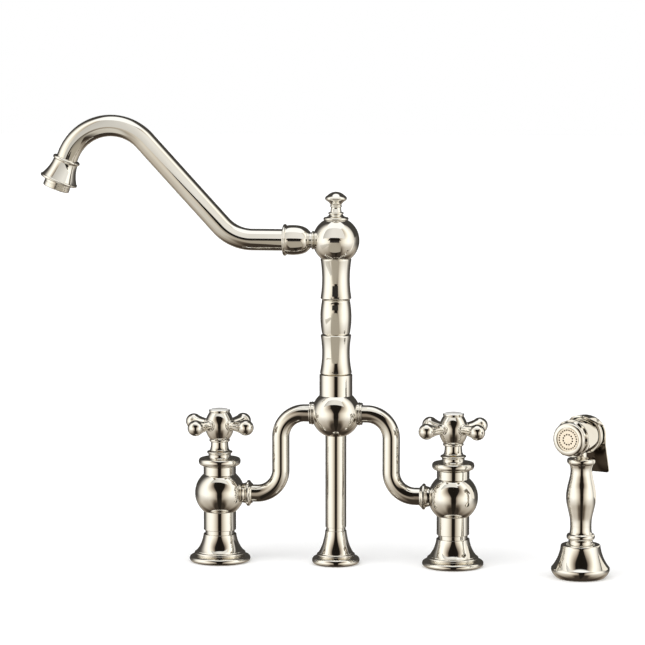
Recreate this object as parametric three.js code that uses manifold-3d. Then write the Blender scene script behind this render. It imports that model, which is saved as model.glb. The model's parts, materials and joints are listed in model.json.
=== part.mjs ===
// A bridge kitchen faucet with two cross handles, a swivelling spout and a side spray.
// Millimetres, +Z up. The deck is z = 0, hot is at -X, cold at +X, and the user stands at -Y.
// The support post is on the Z axis until the last lines centre the whole on its footprint.

import * as THREE from "three";
import { mergeVertices } from "three/addons/utils/BufferGeometryUtils.js";
import Module from "manifold-3d";

const wasm = await Module();
wasm.setup();

const seat = 0.3; // gap where one piece rests on another
const slip = 0.4; // gap round a piece fixed in another, corner to corner of their facets
const running = 0.5; // gap round a piece that turns or slides in another
const through = 1; // how far a cutter runs past what it cuts

const valveSpacing = 203.2;
const portHeight = 60; // deck to the centre of a valve's ball
const bridgeRise = 71; // from there up to the centre of the hub's ball

const fine = 12; // sides of the wide turned pieces
const medium = 10;
const small = 8;

const metal = (color, roughness) => new THREE.MeshStandardMaterial({ color, roughness, metalness: 1 });
const dull = (color, roughness) => new THREE.MeshStandardMaterial({ color, roughness, metalness: 0 });
const nickel = metal("#d8cfc2", 0.08);
const brass = metal("#c8a45c", 0.3);
const steel = metal("#b9b9b7", 0.25);
const porcelain = dull("#fbf8f0", 0.15);
const ceramic = dull("#e9e6df", 0.4);
const rubber = dull("#202020", 0.8);
const acetal = dull("#d9d6cc", 0.5);

// A closed outline of radii and heights: up the outside, then down the bore or the axis.
class Outline {
  constructor(radius, height) {
    this.points = [new THREE.Vector2(radius, height)];
  }
  get end() {
    return this.points.at(-1);
  }
  to(radius, height) {
    this.points.push(new THREE.Vector2(radius, height));
    return this;
  }
  along(curve, steps) {
    this.points.push(...curve.getPoints(steps).slice(1));
    return this;
  }
  // A curve to a point, pulled towards a control point.
  curve(pullRadius, pullHeight, radius, height, steps = 2) {
    const pull = new THREE.Vector2(pullRadius, pullHeight);
    const point = new THREE.Vector2(radius, height);
    return this.along(new THREE.QuadraticBezierCurve(this.end, pull, point), steps);
  }
  // A half-round bead standing out by its bulge, from here up to a height.
  bead(bulge, height, steps = 3) {
    const half = (height - this.end.y) / 2;
    const middle = this.end.y + half;
    return this.along(
      new THREE.EllipseCurve(this.end.x, middle, bulge, half, -Math.PI / 2, Math.PI / 2), steps);
  }
  // The part of a ball on the axis from this radius, below its centre, to a radius above it.
  ball(radius, centre, upperRadius, steps = 6) {
    const from = -Math.acos(this.end.x / radius);
    const upTo = Math.acos(upperRadius / radius);
    return this.along(new THREE.EllipseCurve(0, centre, radius, radius, from, upTo), steps);
  }
  // The groove for a gasket in a flat underside, on the way out to a foot of some radius.
  groove(foot) {
    const outer = foot - gasket.inset + slip;
    const inner = foot - gasket.inset - gasket.width - slip;
    const roof = gasket.thickness + seat;
    return this.to(inner, 0).to(inner, roof).to(outer, roof).to(outer, 0);
  }
  close() {
    this.points.push(this.points[0].clone());
    return this;
  }
}

// How far a ball's surface is above or below its centre at a radius.
const ballHeight = (ball, radius) => Math.sqrt(ball ** 2 - radius ** 2);

const turned = (outline, sides) => new THREE.LatheGeometry(outline.points, sides).rotateX(Math.PI / 2);

const ring = (outer, inner, bottom, top, sides) =>
  turned(new Outline(inner, bottom).to(outer, bottom).to(outer, top).to(inner, top).close(), sides);

const rod = (radius, bottom, top, sides) =>
  turned(new Outline(0, bottom).to(radius, bottom).to(radius, top).to(0, top), sides);

// Geometry as a solid to cut and join, and back.
function solid(geometry) {
  const bare = geometry.clone();
  bare.deleteAttribute("normal");
  bare.deleteAttribute("uv");
  const { index, attributes } = mergeVertices(bare, 1e-4);
  const triVerts = new Uint32Array(index.array);
  return new wasm.Manifold(
    new wasm.Mesh({ numProp: 3, vertProperties: attributes.position.array, triVerts }));
}

function shaped(body) {
  const { vertProperties, triVerts } = body.getMesh();
  const geometry = new THREE.BufferGeometry();
  geometry.setAttribute("position", new THREE.BufferAttribute(vertProperties, 3));
  geometry.setIndex(new THREE.BufferAttribute(triVerts, 1));
  geometry.computeVertexNormals();
  return geometry;
}

// A tube's centre line in the plane of X and Z, bent from straight runs as on a pipe bender.
// One step spans each run, so that the steps go to the bends.
class BentLine extends THREE.Curve {
  constructor(x, z, heading) {
    super();
    this.stations = [];
    this.place(x, z, heading);
  }
  place(x, z, heading) {
    this.x = x;
    this.z = z;
    this.heading = heading;
    this.stations.push({ x, z, heading });
    return this;
  }
  run(length) {
    return this.place(
      this.x + length * Math.cos(this.heading), this.z + length * Math.sin(this.heading), this.heading);
  }
  // A bend by an angle, positive to the left of the heading.
  bend(angle, radius, steps) {
    const side = Math.sign(angle) * radius;
    const centreX = this.x - side * Math.sin(this.heading);
    const centreZ = this.z + side * Math.cos(this.heading);
    const start = this.heading;
    for (let i = 1; i <= steps; i++) {
      const heading = start + (angle * i) / steps;
      this.place(centreX + side * Math.sin(heading), centreZ - side * Math.cos(heading), heading);
    }
    return this;
  }
  get steps() {
    return this.stations.length - 1;
  }
  station(t) {
    return this.stations[Math.round(t * this.steps)];
  }
  getPointAt(t) {
    const { x, z } = this.station(t);
    return new THREE.Vector3(x, 0, z);
  }
  getTangentAt(t) {
    const { heading } = this.station(t);
    return new THREE.Vector3(Math.cos(heading), 0, Math.sin(heading));
  }
}

function tube(line, radius, wall, sides) {
  const section = circle(radius, sides);
  section.holes.push(hole(0, 0, radius - wall, sides));
  return new THREE.ExtrudeGeometry(section, { steps: line.steps, extrudePath: line });
}

// Circles of a few straight sides: an outline, and a hole in one.
const circle = (radius, sides) =>
  new THREE.Shape(new THREE.Path().absarc(0, 0, radius, 0, 2 * Math.PI).getPoints(sides / 2));

const hole = (x, y, radius, sides) =>
  new THREE.Path(new THREE.Path().absarc(x, y, radius, 0, 2 * Math.PI, true).getPoints(sides / 2));

// A flat plate from z = 0 up, with any curve left in its outline in some number of steps.
const plateOf = (shape, depth, curveSegments = 1) =>
  new THREE.ExtrudeGeometry(shape, { depth, curveSegments, bevelEnabled: false });

const radians = THREE.MathUtils.degToRad;

function add(group, name, geometry, material) {
  const mesh = new THREE.Mesh(geometry, material);
  mesh.name = name;
  group.add(mesh);
  return mesh;
}

function groupAt(parent, x, y, z) {
  const group = new THREE.Group();
  group.position.set(x, y, z);
  parent.add(group);
  return group;
}

// ---- Deck flanges: a half-round foot, a ring above it and a bell that flares up to its mouth.

const gasket = { thickness: 2, width: 4, inset: 6.5 };
const bell = { pull: 0.23, rise: 0.35, seam: 0.8, shoulder: 0.7 };

const deckFlange = {
  foot: 26.5, footBulge: 2.6, footHeight: 5.2,
  ring: 22.2, ringBulge: 1.2, ringHeight: 2.5,
  neck: 20.4, mouth: 14.3, height: 24,
};

const postFlange = {
  foot: 20.6, footBulge: 2.4, footHeight: 6,
  ring: 16.6, ringBulge: 1.1, ringHeight: 2.2,
  neck: 15, mouth: 9.2, height: 29,
};

function bellFlange(flange, bore) {
  const ringTop = flange.footHeight + bell.seam + flange.ringHeight;
  const neckHeight = ringTop + bell.shoulder;
  const pullRadius = flange.mouth + bell.pull * (flange.neck - flange.mouth);
  const pullHeight = neckHeight + bell.rise * (flange.height - neckHeight);
  return turned(
    new Outline(bore, 0)
      .groove(flange.foot)
      .to(flange.foot - flange.footBulge, 0)
      .bead(flange.footBulge, flange.footHeight)
      .to(flange.ring - flange.ringBulge, flange.footHeight + bell.seam)
      .bead(flange.ringBulge, ringTop)
      .to(flange.neck, neckHeight)
      .curve(pullRadius, pullHeight, flange.mouth, flange.height, 3)
      .to(bore, flange.height)
      .close(),
    fine,
  );
}

const deckGasket = (foot) =>
  ring(foot - gasket.inset, foot - gasket.inset - gasket.width, 0, gasket.thickness, fine);

// ---- Valves: the body stands in its flange and carries the cartridge, the bonnet and the handle.

const valve = {
  clearance: 1, // the body ends this far above the deck
  neck: 12.7, neckTop: 27.5,
  barrel: 14.05, ball: 21.5,
  inlet: 7.5,
  chamber: 9.8, chamberDepth: 8, // below the centre of the ball
  top: 23.4, // above the centre of the ball
};

const arm = { radius: 7.5, wall: 1.2, bend: 21, offset: 48, sides: 10, bendSteps: 4, insert: 11.5 };
const port = arm.radius + slip;

function valveBody() {
  const barrelFoot = -ballHeight(valve.ball, valve.barrel);
  const body = turned(
    new Outline(valve.inlet, valve.clearance - portHeight)
      .to(valve.neck, valve.clearance - portHeight)
      .to(valve.neck, valve.neckTop - portHeight)
      .to(valve.barrel, valve.neckTop - portHeight)
      .to(valve.barrel, barrelFoot)
      .ball(valve.ball, 0, valve.barrel)
      .to(valve.barrel, valve.top)
      .to(valve.chamber, valve.top)
      .to(valve.chamber, -valve.chamberDepth)
      .to(valve.inlet, -valve.chamberDepth)
      .close(),
    fine,
  );
  const portCut = rod(port, 0, valve.ball, fine).rotateY(Math.PI / 2);
  return shaped(solid(body).subtract(solid(portCut)));
}

const collar = {
  start: 20.1, throat: 8.5, flare: 8.9, rim: 11.25, rimAt: 26.6, lip: 1.1, edge: 0.4,
  shoulder: 8.95, shoulderAt: 28.9, mouth: 8.5, end: 29.9,
};

// The collar where a bridge arm enters its valve, turned about the arm, pointing to +X.
function unionCollar() {
  const outline = new Outline(port, collar.start + seat)
    .to(collar.throat, collar.start + seat)
    .curve(collar.flare, collar.rimAt - collar.lip, collar.rim - collar.edge, collar.rimAt - collar.lip)
    .to(collar.rim, collar.rimAt)
    .to(collar.rim - collar.edge, collar.rimAt + collar.lip)
    .curve(collar.shoulder, collar.shoulderAt, collar.mouth, collar.end)
    .to(port, collar.end)
    .close();
  return turned(outline, fine).rotateY(Math.PI / 2);
}

// Heights from here to the button are above the centre of the valve's ball.
const cartridge = { wall: 1.6, top: 26, roof: 6, gland: 4.2 };
const disc = { radius: 7.3, thickness: 2.5, port: 2.2, portAt: 4, gap: 0.3 };
const discBottom = -3;
const stem = { radius: 3.5, foot: 6.6, footHeight: 3, top: 58.5, tapping: 1.9, tappingDepth: 11 };

const cartridgeRadius = valve.chamber - slip;
const cartridgeBore = cartridgeRadius - cartridge.wall;

const cartridgeBody = () =>
  turned(
    new Outline(cartridgeBore, -valve.chamberDepth + seat)
      .to(cartridgeRadius, -valve.chamberDepth + seat)
      .to(cartridgeRadius, cartridge.top)
      .to(cartridge.gland, cartridge.top)
      .to(cartridge.gland, cartridge.top - cartridge.roof)
      .to(cartridgeBore, cartridge.top - cartridge.roof)
      .close(),
    medium,
  );

// A ceramic disc with a port on each side, its face at a height.
function ceramicDisc(bottom) {
  const outline = circle(disc.radius, medium);
  for (const side of [-1, 1]) {
    outline.holes.push(hole(0, side * disc.portAt, disc.port, 6));
  }
  return plateOf(outline, disc.thickness).translate(0, 0, bottom);
}

const movingDiscBottom = discBottom + disc.thickness + disc.gap;
const stemBottom = movingDiscBottom + disc.thickness + disc.gap;

const valveStem = () =>
  turned(
    new Outline(0, stemBottom)
      .to(stem.foot, stemBottom)
      .to(stem.foot, stemBottom + stem.footHeight)
      .to(stem.radius, stemBottom + stem.footHeight)
      .to(stem.radius, stem.top)
      .to(stem.tapping, stem.top)
      .to(stem.tapping, stem.top - stem.tappingDepth)
      .to(0, stem.top - stem.tappingDepth),
    small,
  );

const bonnet = {
  rim: 18.2, rimAt: 4, rimHeight: 6.8, top: 16, // heights above the valve body's top
  edge: 0.4, bead: 10.4, beadBulge: 0.9, beadTop: 11,
  lid: 10.4, lidHeight: 1.9,
};
const bonnetBottom = valve.top + seat;
const bonnetTop = bonnetBottom + bonnet.beadTop + bonnet.lidHeight;

function bonnetRing() {
  const rimTop = bonnetBottom + bonnet.rimHeight;
  const recess = cartridgeRadius + slip;
  const recessTop = cartridge.top + seat;
  return turned(
    new Outline(recess, bonnetBottom)
      .to(valve.barrel, bonnetBottom)
      .curve(bonnet.rim - bonnet.edge, bonnetBottom + bonnet.edge, bonnet.rim, bonnetBottom + bonnet.rimAt)
      .curve(bonnet.rim, rimTop - bonnet.edge, bonnet.top, rimTop)
      .to(bonnet.bead, rimTop)
      .bead(bonnet.beadBulge, bonnetBottom + bonnet.beadTop)
      .to(bonnet.lid, bonnetTop)
      .to(stem.radius + running, bonnetTop)
      .to(stem.radius + running, recessTop)
      .to(recess, recessTop)
      .close(),
    fine,
  );
}

// ---- Handles: they turn with their stems and moving discs.

const skirt = { foot: 8.5, flare: 2, waist: 7.4, height: 7.7, bead: 8, beadBulge: 0.9, beadHeight: 2.4 };
const skirtBottom = bonnetTop + running;
const skirtTop = skirtBottom + skirt.height + skirt.beadHeight;

const handleSkirt = () =>
  turned(
    new Outline(stem.radius + slip, skirtBottom)
      .to(skirt.foot, skirtBottom)
      .curve(skirt.waist, skirtBottom + skirt.flare, skirt.waist, skirtBottom + skirt.height)
      .to(skirt.bead, skirtBottom + skirt.height)
      .bead(skirt.beadBulge, skirtTop)
      .to(stem.radius + slip, skirtTop)
      .close(),
    medium,
  );

const cross = {
  end: 8.6, swell: 14.7, height: 23, // the swell pulls the barrel's side out, to 11.7 half way up
  armHeight: 12.2, armStart: 5.5, boss: 4.7, bossAt: 12.5, neck: 4, neckAt: 17.5,
  cone: 5.5, ball: 6.9, ballAt: 30.5, screwHole: 2.2, screwSeat: 3, well: 6.5,
};
const crossBottom = skirtTop + seat;
const crossTop = crossBottom + cross.height;
const stemSocketTop = stem.top + seat;
const wellBottom = stemSocketTop + cross.screwSeat;

// One arm, turned about its own length: boss, neck, cone and ball end.
function crossArm() {
  const outline = new Outline(0, cross.armStart)
    .to(cross.boss, cross.armStart)
    .to(cross.boss, cross.bossAt)
    .to(cross.neck, cross.neckAt)
    .to(cross.cone, cross.ballAt - ballHeight(cross.ball, cross.cone))
    .ball(cross.ball, cross.ballAt, 0, 4);
  return turned(outline, small).rotateY(Math.PI / 2);
}

function handleCross() {
  const barrel = turned(
    new Outline(0, crossBottom)
      .to(cross.end, crossBottom)
      .curve(cross.swell, crossBottom + cross.height / 2, cross.end, crossTop, 5)
      .to(0, crossTop),
    fine,
  );
  const bore = turned(
    new Outline(0, crossBottom - seat)
      .to(stem.radius + slip, crossBottom - seat)
      .to(stem.radius + slip, stemSocketTop)
      .to(cross.screwHole, stemSocketTop)
      .to(cross.screwHole, wellBottom)
      .to(cross.well, wellBottom)
      .to(cross.well, crossTop + seat)
      .to(0, crossTop + seat),
    medium,
  );
  let body = solid(barrel);
  for (let quarter = 0; quarter < 4; quarter++) {
    const spoke = crossArm()
      .translate(0, 0, crossBottom + cross.armHeight)
      .rotateZ((quarter * Math.PI) / 2);
    body = body.add(solid(spoke));
  }
  return shaped(body.subtract(solid(bore)));
}

const screw = { head: 3.8, headHeight: 2.6, shank: 1.6, length: 11 };

const handleScrew = () =>
  turned(
    new Outline(0, wellBottom + seat - screw.length)
      .to(screw.shank, wellBottom + seat - screw.length)
      .to(screw.shank, wellBottom + seat)
      .to(screw.head, wellBottom + seat)
      .to(screw.head, wellBottom + seat + screw.headHeight)
      .to(0, wellBottom + seat + screw.headHeight),
    small,
  );

const bezel = { radius: 9.1, height: 2.4, floor: 0.9, spigotDepth: 3.5, bore: 4.5, lip: 0.5 };
const bezelBottom = crossTop + seat;
const bezelTop = bezelBottom + bezel.height;

const buttonBezel = () =>
  turned(
    new Outline(bezel.bore, bezelBottom - bezel.spigotDepth)
      .to(cross.well - slip, bezelBottom - bezel.spigotDepth)
      .to(cross.well - slip, bezelBottom)
      .to(bezel.radius - bezel.lip, bezelBottom)
      .to(bezel.radius, bezelBottom + bezel.lip)
      .to(bezel.radius, bezelTop - bezel.lip)
      .to(bezel.radius - bezel.lip, bezelTop)
      .to(bezel.radius - bezel.lip, bezelBottom + bezel.floor)
      .to(bezel.bore, bezelBottom + bezel.floor)
      .close(),
    medium,
  );

const button = { edge: 0.2, shoulder: 0.8, rise: 2.4 }; // heights above the bezel

function indexButton() {
  const radius = bezel.radius - bezel.lip - slip;
  const bottom = bezelBottom + bezel.floor + seat;
  const top = bezelTop + button.rise;
  return turned(
    new Outline(0, bottom)
      .to(radius, bottom)
      .to(radius, bezelTop + button.edge)
      .curve(radius - button.shoulder, top, 0, top, 4),
    medium,
  );
}

// ---- Bridge: hub, arms and support post.

const hub = { ball: 21.2, collar: 14.17, top: 34, bore: 10.4, boss: 9.7, bossEnd: 22.9 };
const passage = { radius: 9, top: 10, bottom: -9, drain: 6 }; // heights from the centre of the hub
const post = { radius: 9.05, shank: 8.4, shankTop: 32, bore: 6, socket: 15.3 };
const hubCentre = portHeight + bridgeRise;

function hubBody() {
  const socketRadius = post.radius + slip;
  const body = turned(
    new Outline(socketRadius, -ballHeight(hub.ball, socketRadius))
      .ball(hub.ball, 0, hub.collar)
      .to(hub.collar, hub.top)
      .to(hub.bore, hub.top)
      .to(hub.bore, passage.top)
      .to(passage.radius, passage.top)
      .to(passage.radius, passage.bottom)
      .to(passage.drain, passage.bottom)
      .to(passage.drain, -post.socket)
      .to(socketRadius, -post.socket)
      .close(),
    fine,
  );
  let cast = solid(body);
  for (const side of [-1, 1]) {
    const turn = (side * Math.PI) / 2;
    const start = (passage.radius + hub.ball) / 2;
    cast = cast
      .add(solid(rod(hub.boss, start, hub.bossEnd, medium).rotateY(turn)))
      .subtract(solid(rod(port, 0, hub.bossEnd + through, fine).rotateY(turn)));
  }
  return shaped(cast);
}

// One bridge arm, from the hub out to the valve at +X.
function bridgeArm() {
  const valveAt = valveSpacing / 2;
  const start = hub.bossEnd - arm.insert;
  const line = new BentLine(start, hubCentre, 0)
    .run(arm.offset - arm.bend - start)
    .bend(-Math.PI / 2, arm.bend, arm.bendSteps)
    .run(bridgeRise - 2 * arm.bend)
    .bend(Math.PI / 2, arm.bend, arm.bendSteps)
    .run(valveAt - collar.start + arm.insert / 2 - arm.offset - arm.bend);
  return tube(line, arm.radius, arm.wall, arm.sides);
}

const postTube = () =>
  turned(
    new Outline(post.bore, valve.clearance)
      .to(post.shank, valve.clearance)
      .to(post.shank, post.shankTop)
      .to(post.radius, post.shankTop)
      .to(post.radius, hubCentre - post.socket - seat)
      .to(post.bore, hubCentre - post.socket - seat)
      .close(),
    medium,
  );

// The diverter stands on the shoulder in the hub: a sleeve, and a spool that slides in it.
const diverter = { sleeveHeight: 11, wall: 2, travel: 3, spoolBore: 2.5, spoolHeight: 7 };
const sleeveRadius = hub.bore - slip;
const sleeveBottom = hubCentre + passage.top + seat;
const sleeveTop = sleeveBottom + diverter.sleeveHeight;

const diverterSleeve = () =>
  ring(sleeveRadius, sleeveRadius - diverter.wall, sleeveBottom, sleeveTop, medium);

const diverterSpool = () =>
  ring(
    sleeveRadius - diverter.wall - running,
    diverter.spoolBore,
    sleeveBottom,
    sleeveBottom + diverter.spoolHeight,
    medium,
  );

// ---- Swivel: the spigot that turns on the sleeve in the hub's collar, with its seal in a groove.

const spigot = { wall: 2.3, above: 12, groove: 1.3, grooveAt: 4, grooveHeight: 2.6 };
const spigotRadius = hub.bore - running;
const spigotBottom = sleeveTop + seat;
const hubTop = hubCentre + hub.top;

function swivelSpigot() {
  const bore = spigotRadius - spigot.wall;
  const grooveBottom = spigotBottom + spigot.grooveAt;
  return turned(
    new Outline(bore, spigotBottom)
      .to(spigotRadius, spigotBottom)
      .to(spigotRadius, grooveBottom)
      .to(spigotRadius - spigot.groove, grooveBottom)
      .to(spigotRadius - spigot.groove, grooveBottom + spigot.grooveHeight)
      .to(spigotRadius, grooveBottom + spigot.grooveHeight)
      .to(spigotRadius, hubTop + spigot.above)
      .to(bore, hubTop + spigot.above)
      .close(),
    medium,
  );
}

function swivelSeal() {
  const inner = spigotRadius - spigot.groove + slip;
  const bottom = spigotBottom + spigot.grooveAt + seat;
  const top = spigotBottom + spigot.grooveAt + spigot.grooveHeight - seat;
  return turned(
    new Outline(inner, bottom).bead(spigotRadius - inner, top).close(),
    medium,
  );
}

// ---- Riser: three sleeves, each with a spigot on top that enters the next.

const riser = { bore: 7.5, spigot: 9.6, spigotHeight: 6, lip: 1.4 };
const riserLower = { bottom: 13.7, top: 13.1, waist: 11.9, height: 34 };
const riserMiddle = { bottom: 12.1, top: 12.1, waist: 13.35, height: 30 };
const riserUpper = { bottom: 13.2, top: 13.2, waist: 11.9, height: 35.2 };
const riserBottom = hubTop + running;

// A sleeve is waisted or barrelled between its lips, over a socket of some radius and depth.
function riserSleeve(sleeve, bottom, socketRadius, socketDepth) {
  const top = bottom + sleeve.height;
  const pull = 2 * sleeve.waist - (sleeve.bottom + sleeve.top) / 2;
  return turned(
    new Outline(socketRadius, bottom)
      .to(sleeve.bottom, bottom)
      .to(sleeve.bottom, bottom + riser.lip)
      .curve(pull, (bottom + top) / 2, sleeve.top, top - riser.lip, 4)
      .to(sleeve.top, top)
      .to(riser.spigot, top)
      .to(riser.spigot, top + riser.spigotHeight)
      .to(riser.bore, top + riser.spigotHeight)
      .to(riser.bore, bottom + socketDepth)
      .to(socketRadius, bottom + socketDepth)
      .close(),
    fine,
  );
}

const spigotSocket = riser.spigot + slip;
const spigotSocketDepth = riser.spigotHeight + seat;
const middleBottom = riserBottom + riserLower.height + seat;
const upperBottom = middleBottom + riserMiddle.height + seat;
const ballBottom = upperBottom + riserUpper.height + seat;

// ---- Upper ball, finial and coupling.

const spoutBall = {
  radius: 20.1, neck: 13.3, chamber: 9, chamberTop: 9, chamfer: 2, hole: 3.3, holeDepth: 6,
};
const spoutHeight = ballBottom + ballHeight(spoutBall.radius, spoutBall.neck);

const finial = {
  base: 10.8, baseBulge: 1.1, baseHeight: 2.6, coneHeight: 2.6,
  bead: 5.2, beadBulge: 1.5, beadHeight: 1.8, hollow: 4, neck: 4.6, neckAt: 11.5,
  knob: 9.4, knobFlare: 13.5, knobAt: 18.8, top: 24.6, spigot: 3, spigotDepth: 4.7,
};
const finialBottom = spoutHeight + ballHeight(spoutBall.radius, finial.base) + seat;

const nipple = { radius: 7.25, wall: 2, start: 10, end: 34, ring: 0.7, ringAt: 19.2, ringWidth: 2.3 };
const coupling = {
  start: 22, throat: 7.9, flare: 11.35, flareAt: 29.75, swell: 12.85, swellAt: 37.5,
  waist: 12.5, ringBulge: 1.2, ringAt: 42.8, end: 46, socketAt: 35,
};

function upperBall() {
  const top = ballHeight(spoutBall.radius, finial.base);
  const bottom = ballBottom - spoutHeight;
  const body = turned(
    new Outline(0, spoutBall.chamberTop)
      .to(spoutBall.chamber - spoutBall.chamfer, spoutBall.chamberTop)
      .to(spoutBall.chamber, spoutBall.chamberTop - spoutBall.chamfer)
      .to(spoutBall.chamber, bottom + spigotSocketDepth)
      .to(spigotSocket, bottom + spigotSocketDepth)
      .to(spigotSocket, bottom)
      .to(spoutBall.neck, bottom)
      .ball(spoutBall.radius, 0, finial.base)
      .to(spoutBall.hole, top)
      .to(spoutBall.hole, top - spoutBall.holeDepth)
      .to(0, top - spoutBall.holeDepth),
    fine,
  );
  const side = rod(nipple.radius + slip, 0, spoutBall.radius, medium).rotateY(-Math.PI / 2);
  return shaped(solid(body).subtract(solid(side)));
}

const ballFinial = () =>
  turned(
    new Outline(0, -finial.spigotDepth)
      .to(finial.spigot, -finial.spigotDepth)
      .to(finial.spigot, 0)
      .to(finial.base - finial.baseBulge, 0)
      .bead(finial.baseBulge, finial.baseHeight)
      .to(finial.bead, finial.baseHeight + finial.coneHeight)
      .bead(finial.beadBulge, finial.baseHeight + finial.coneHeight + finial.beadHeight)
      .curve(finial.hollow, finial.neckAt, finial.neck, finial.neckAt)
      .curve(finial.knob, finial.knobFlare, finial.knob, finial.knobAt, 3)
      .curve(finial.knob, finial.top, 0, finial.top, 3),
    medium,
  );

const couplingNipple = () =>
  turned(
    new Outline(nipple.radius - nipple.wall, nipple.start)
      .to(nipple.radius, nipple.start)
      .to(nipple.radius, nipple.ringAt)
      .bead(nipple.ring, nipple.ringAt + nipple.ringWidth)
      .to(nipple.radius, nipple.end)
      .to(nipple.radius - nipple.wall, nipple.end)
      .close(),
    medium,
  ).rotateY(-Math.PI / 2);

const spout = {
  radius: 9.45, wall: 1.2, sides: 12, horizontal: 37,
  riseAngle: 47.5, riseBend: 37, rise: 98,
  neckAngle: 116.1, neckBend: 40.3, drop: 5,
};

const couplingBell = () =>
  turned(
    new Outline(nipple.radius + slip, coupling.start)
      .to(coupling.throat, coupling.start)
      .curve(coupling.flare, coupling.flareAt, coupling.swell, coupling.swellAt, 3)
      .to(coupling.waist, coupling.ringAt)
      .bead(coupling.ringBulge, coupling.end)
      .to(spout.radius + slip, coupling.end)
      .to(spout.radius + slip, coupling.socketAt)
      .to(nipple.radius + slip, coupling.socketAt)
      .close(),
    fine,
  ).rotateY(-Math.PI / 2);

// ---- Spout, with its outlet hanging at the end of the gooseneck.

const outlet = {
  length: 21.2, insert: 5, topBead: 11, topBulge: 1.1, topHeight: 2.8,
  waist: 10.9, rim: 16.1, rimBulge: 0.6, rimHeight: 2.4, cavity: 12.2, cavityDepth: 9,
};
const aerator = { radius: 11.7, inside: 9.4, proud: 5, grid: 1.2, hole: 2, holeAt: 5.6, holes: 6 };

function spoutLine() {
  return new BentLine(-coupling.socketAt - seat, 0, Math.PI)
    .run(spout.horizontal)
    .bend(-radians(spout.riseAngle), spout.riseBend, 4)
    .run(spout.rise)
    .bend(radians(spout.neckAngle), spout.neckBend, 9)
    .run(spout.drop + outlet.insert);
}

// Heights are above the end of the spout's free length, along the outlet's axis.
const aeratorHousing = () =>
  turned(
    new Outline(outlet.cavity, -outlet.length)
      .to(outlet.rim, -outlet.length)
      .bead(outlet.rimBulge, outlet.rimHeight - outlet.length)
      .curve(outlet.waist, -outlet.length / 2, outlet.waist, -outlet.topHeight, 3)
      .to(outlet.topBead, -outlet.topHeight)
      .bead(outlet.topBulge, 0)
      .to(spout.radius + slip, 0)
      .to(spout.radius + slip, -outlet.insert - seat)
      .to(aerator.inside, -outlet.insert - seat)
      .to(aerator.inside, outlet.cavityDepth - outlet.length)
      .to(outlet.cavity, outlet.cavityDepth - outlet.length)
      .close(),
    fine,
  );

function aeratorInsert() {
  const bottom = -outlet.length - aerator.proud;
  const wall = ring(aerator.radius, aerator.inside, bottom, outlet.cavityDepth - outlet.length - seat, fine);
  const plate = circle((aerator.inside + aerator.radius) / 2, fine);
  plate.holes.push(hole(0, 0, aerator.hole, 6));
  for (let i = 0; i < aerator.holes; i++) {
    const angle = (2 * Math.PI * i) / aerator.holes;
    const x = aerator.holeAt * Math.cos(angle);
    const y = aerator.holeAt * Math.sin(angle);
    plate.holes.push(hole(x, y, aerator.hole, 6));
  }
  const grid = plateOf(plate, aerator.grid).translate(0, 0, bottom + aerator.grid);
  return shaped(solid(wall).add(solid(grid)));
}

// ---- Side spray: its holder on the deck, and the spray that lifts out of it.

const spray = { x: 212.4, y: -35, turn: -25 }; // the head faces the user's left
const holder = {
  base: 21.6, footBulge: 25.3, footBulgeAt: 4.5, foot: 24.9, footAt: 8.3, waist: 18.6, waistAt: 15.5,
  throat: 16.9, throatAt: 25.5, rim: 16.4, height: 28, bore: 12.4,
};
const liner = { wall: 1.1, ledge: 8, mouth: 7.5, bottom: 3 };
const linerRadius = holder.bore - slip;

const sprayHolder = () =>
  turned(
    new Outline(liner.mouth, 0)
      .groove(holder.foot)
      .to(holder.base, 0)
      .curve(holder.footBulge, holder.footBulgeAt, holder.foot, holder.footAt)
      .curve(holder.waist, holder.waistAt, holder.throat, holder.throatAt, 3)
      .to(holder.rim, holder.height)
      .to(holder.bore, holder.height)
      .to(holder.bore, liner.bottom - seat)
      .to(liner.mouth, liner.bottom - seat)
      .close(),
    fine,
  );

const holderLiner = () =>
  turned(
    new Outline(liner.mouth, liner.bottom)
      .to(linerRadius, liner.bottom)
      .to(linerRadius, holder.height - seat)
      .to(linerRadius - liner.wall, holder.height - seat)
      .to(linerRadius - liner.wall, liner.ledge)
      .to(liner.mouth, liner.ledge)
      .close(),
    fine,
  );

const handle = {
  spigotBottom: 8.3, hose: 5, boreTop: 96,
  bead: 10.8, beadBulge: 1.2, beadBottom: 32.5, beadTop: 37,
  foot: 9.1, footPull: 39, footAt: 43.5,
  swell: 12.7, swellPull: 54.5, swellAt: 67.4,
  waist: 9.3, waistPull: 77.4, waistAt: 88,
  flare: 9, flareAt: 94, shoulder: 11, shoulderBulge: 1.1, shoulderBottom: 97, shoulderTop: 101.5,
  neckFoot: 8, neckFootAt: 101.8, neckPull: 102.5, neck: 4.7, neckAt: 105, top: 113,
};

function sprayHandle() {
  const grip = linerRadius - liner.wall - running;
  return turned(
    new Outline(0, handle.boreTop)
      .to(handle.hose, handle.boreTop)
      .to(handle.hose, handle.spigotBottom)
      .to(grip, handle.spigotBottom)
      .to(grip, handle.beadBottom)
      .bead(handle.beadBulge + handle.bead - grip, handle.beadTop)
      .curve(handle.foot, handle.footPull, handle.foot, handle.footAt)
      .curve(handle.swell, handle.swellPull, handle.swell, handle.swellAt, 3)
      .curve(handle.swell, handle.waistPull, handle.waist, handle.waistAt, 3)
      .curve(handle.flare, handle.flareAt, handle.shoulder, handle.shoulderBottom)
      .bead(handle.shoulderBulge, handle.shoulderTop)
      .to(handle.neckFoot, handle.neckFootAt)
      .curve(handle.neck, handle.neckPull, handle.neck, handle.neckAt)
      .to(handle.neck, handle.top)
      .to(0, handle.top),
    fine,
  );
}

const headRise = 7.5; // from the top of the spray's handle to the axis of its head

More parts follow.
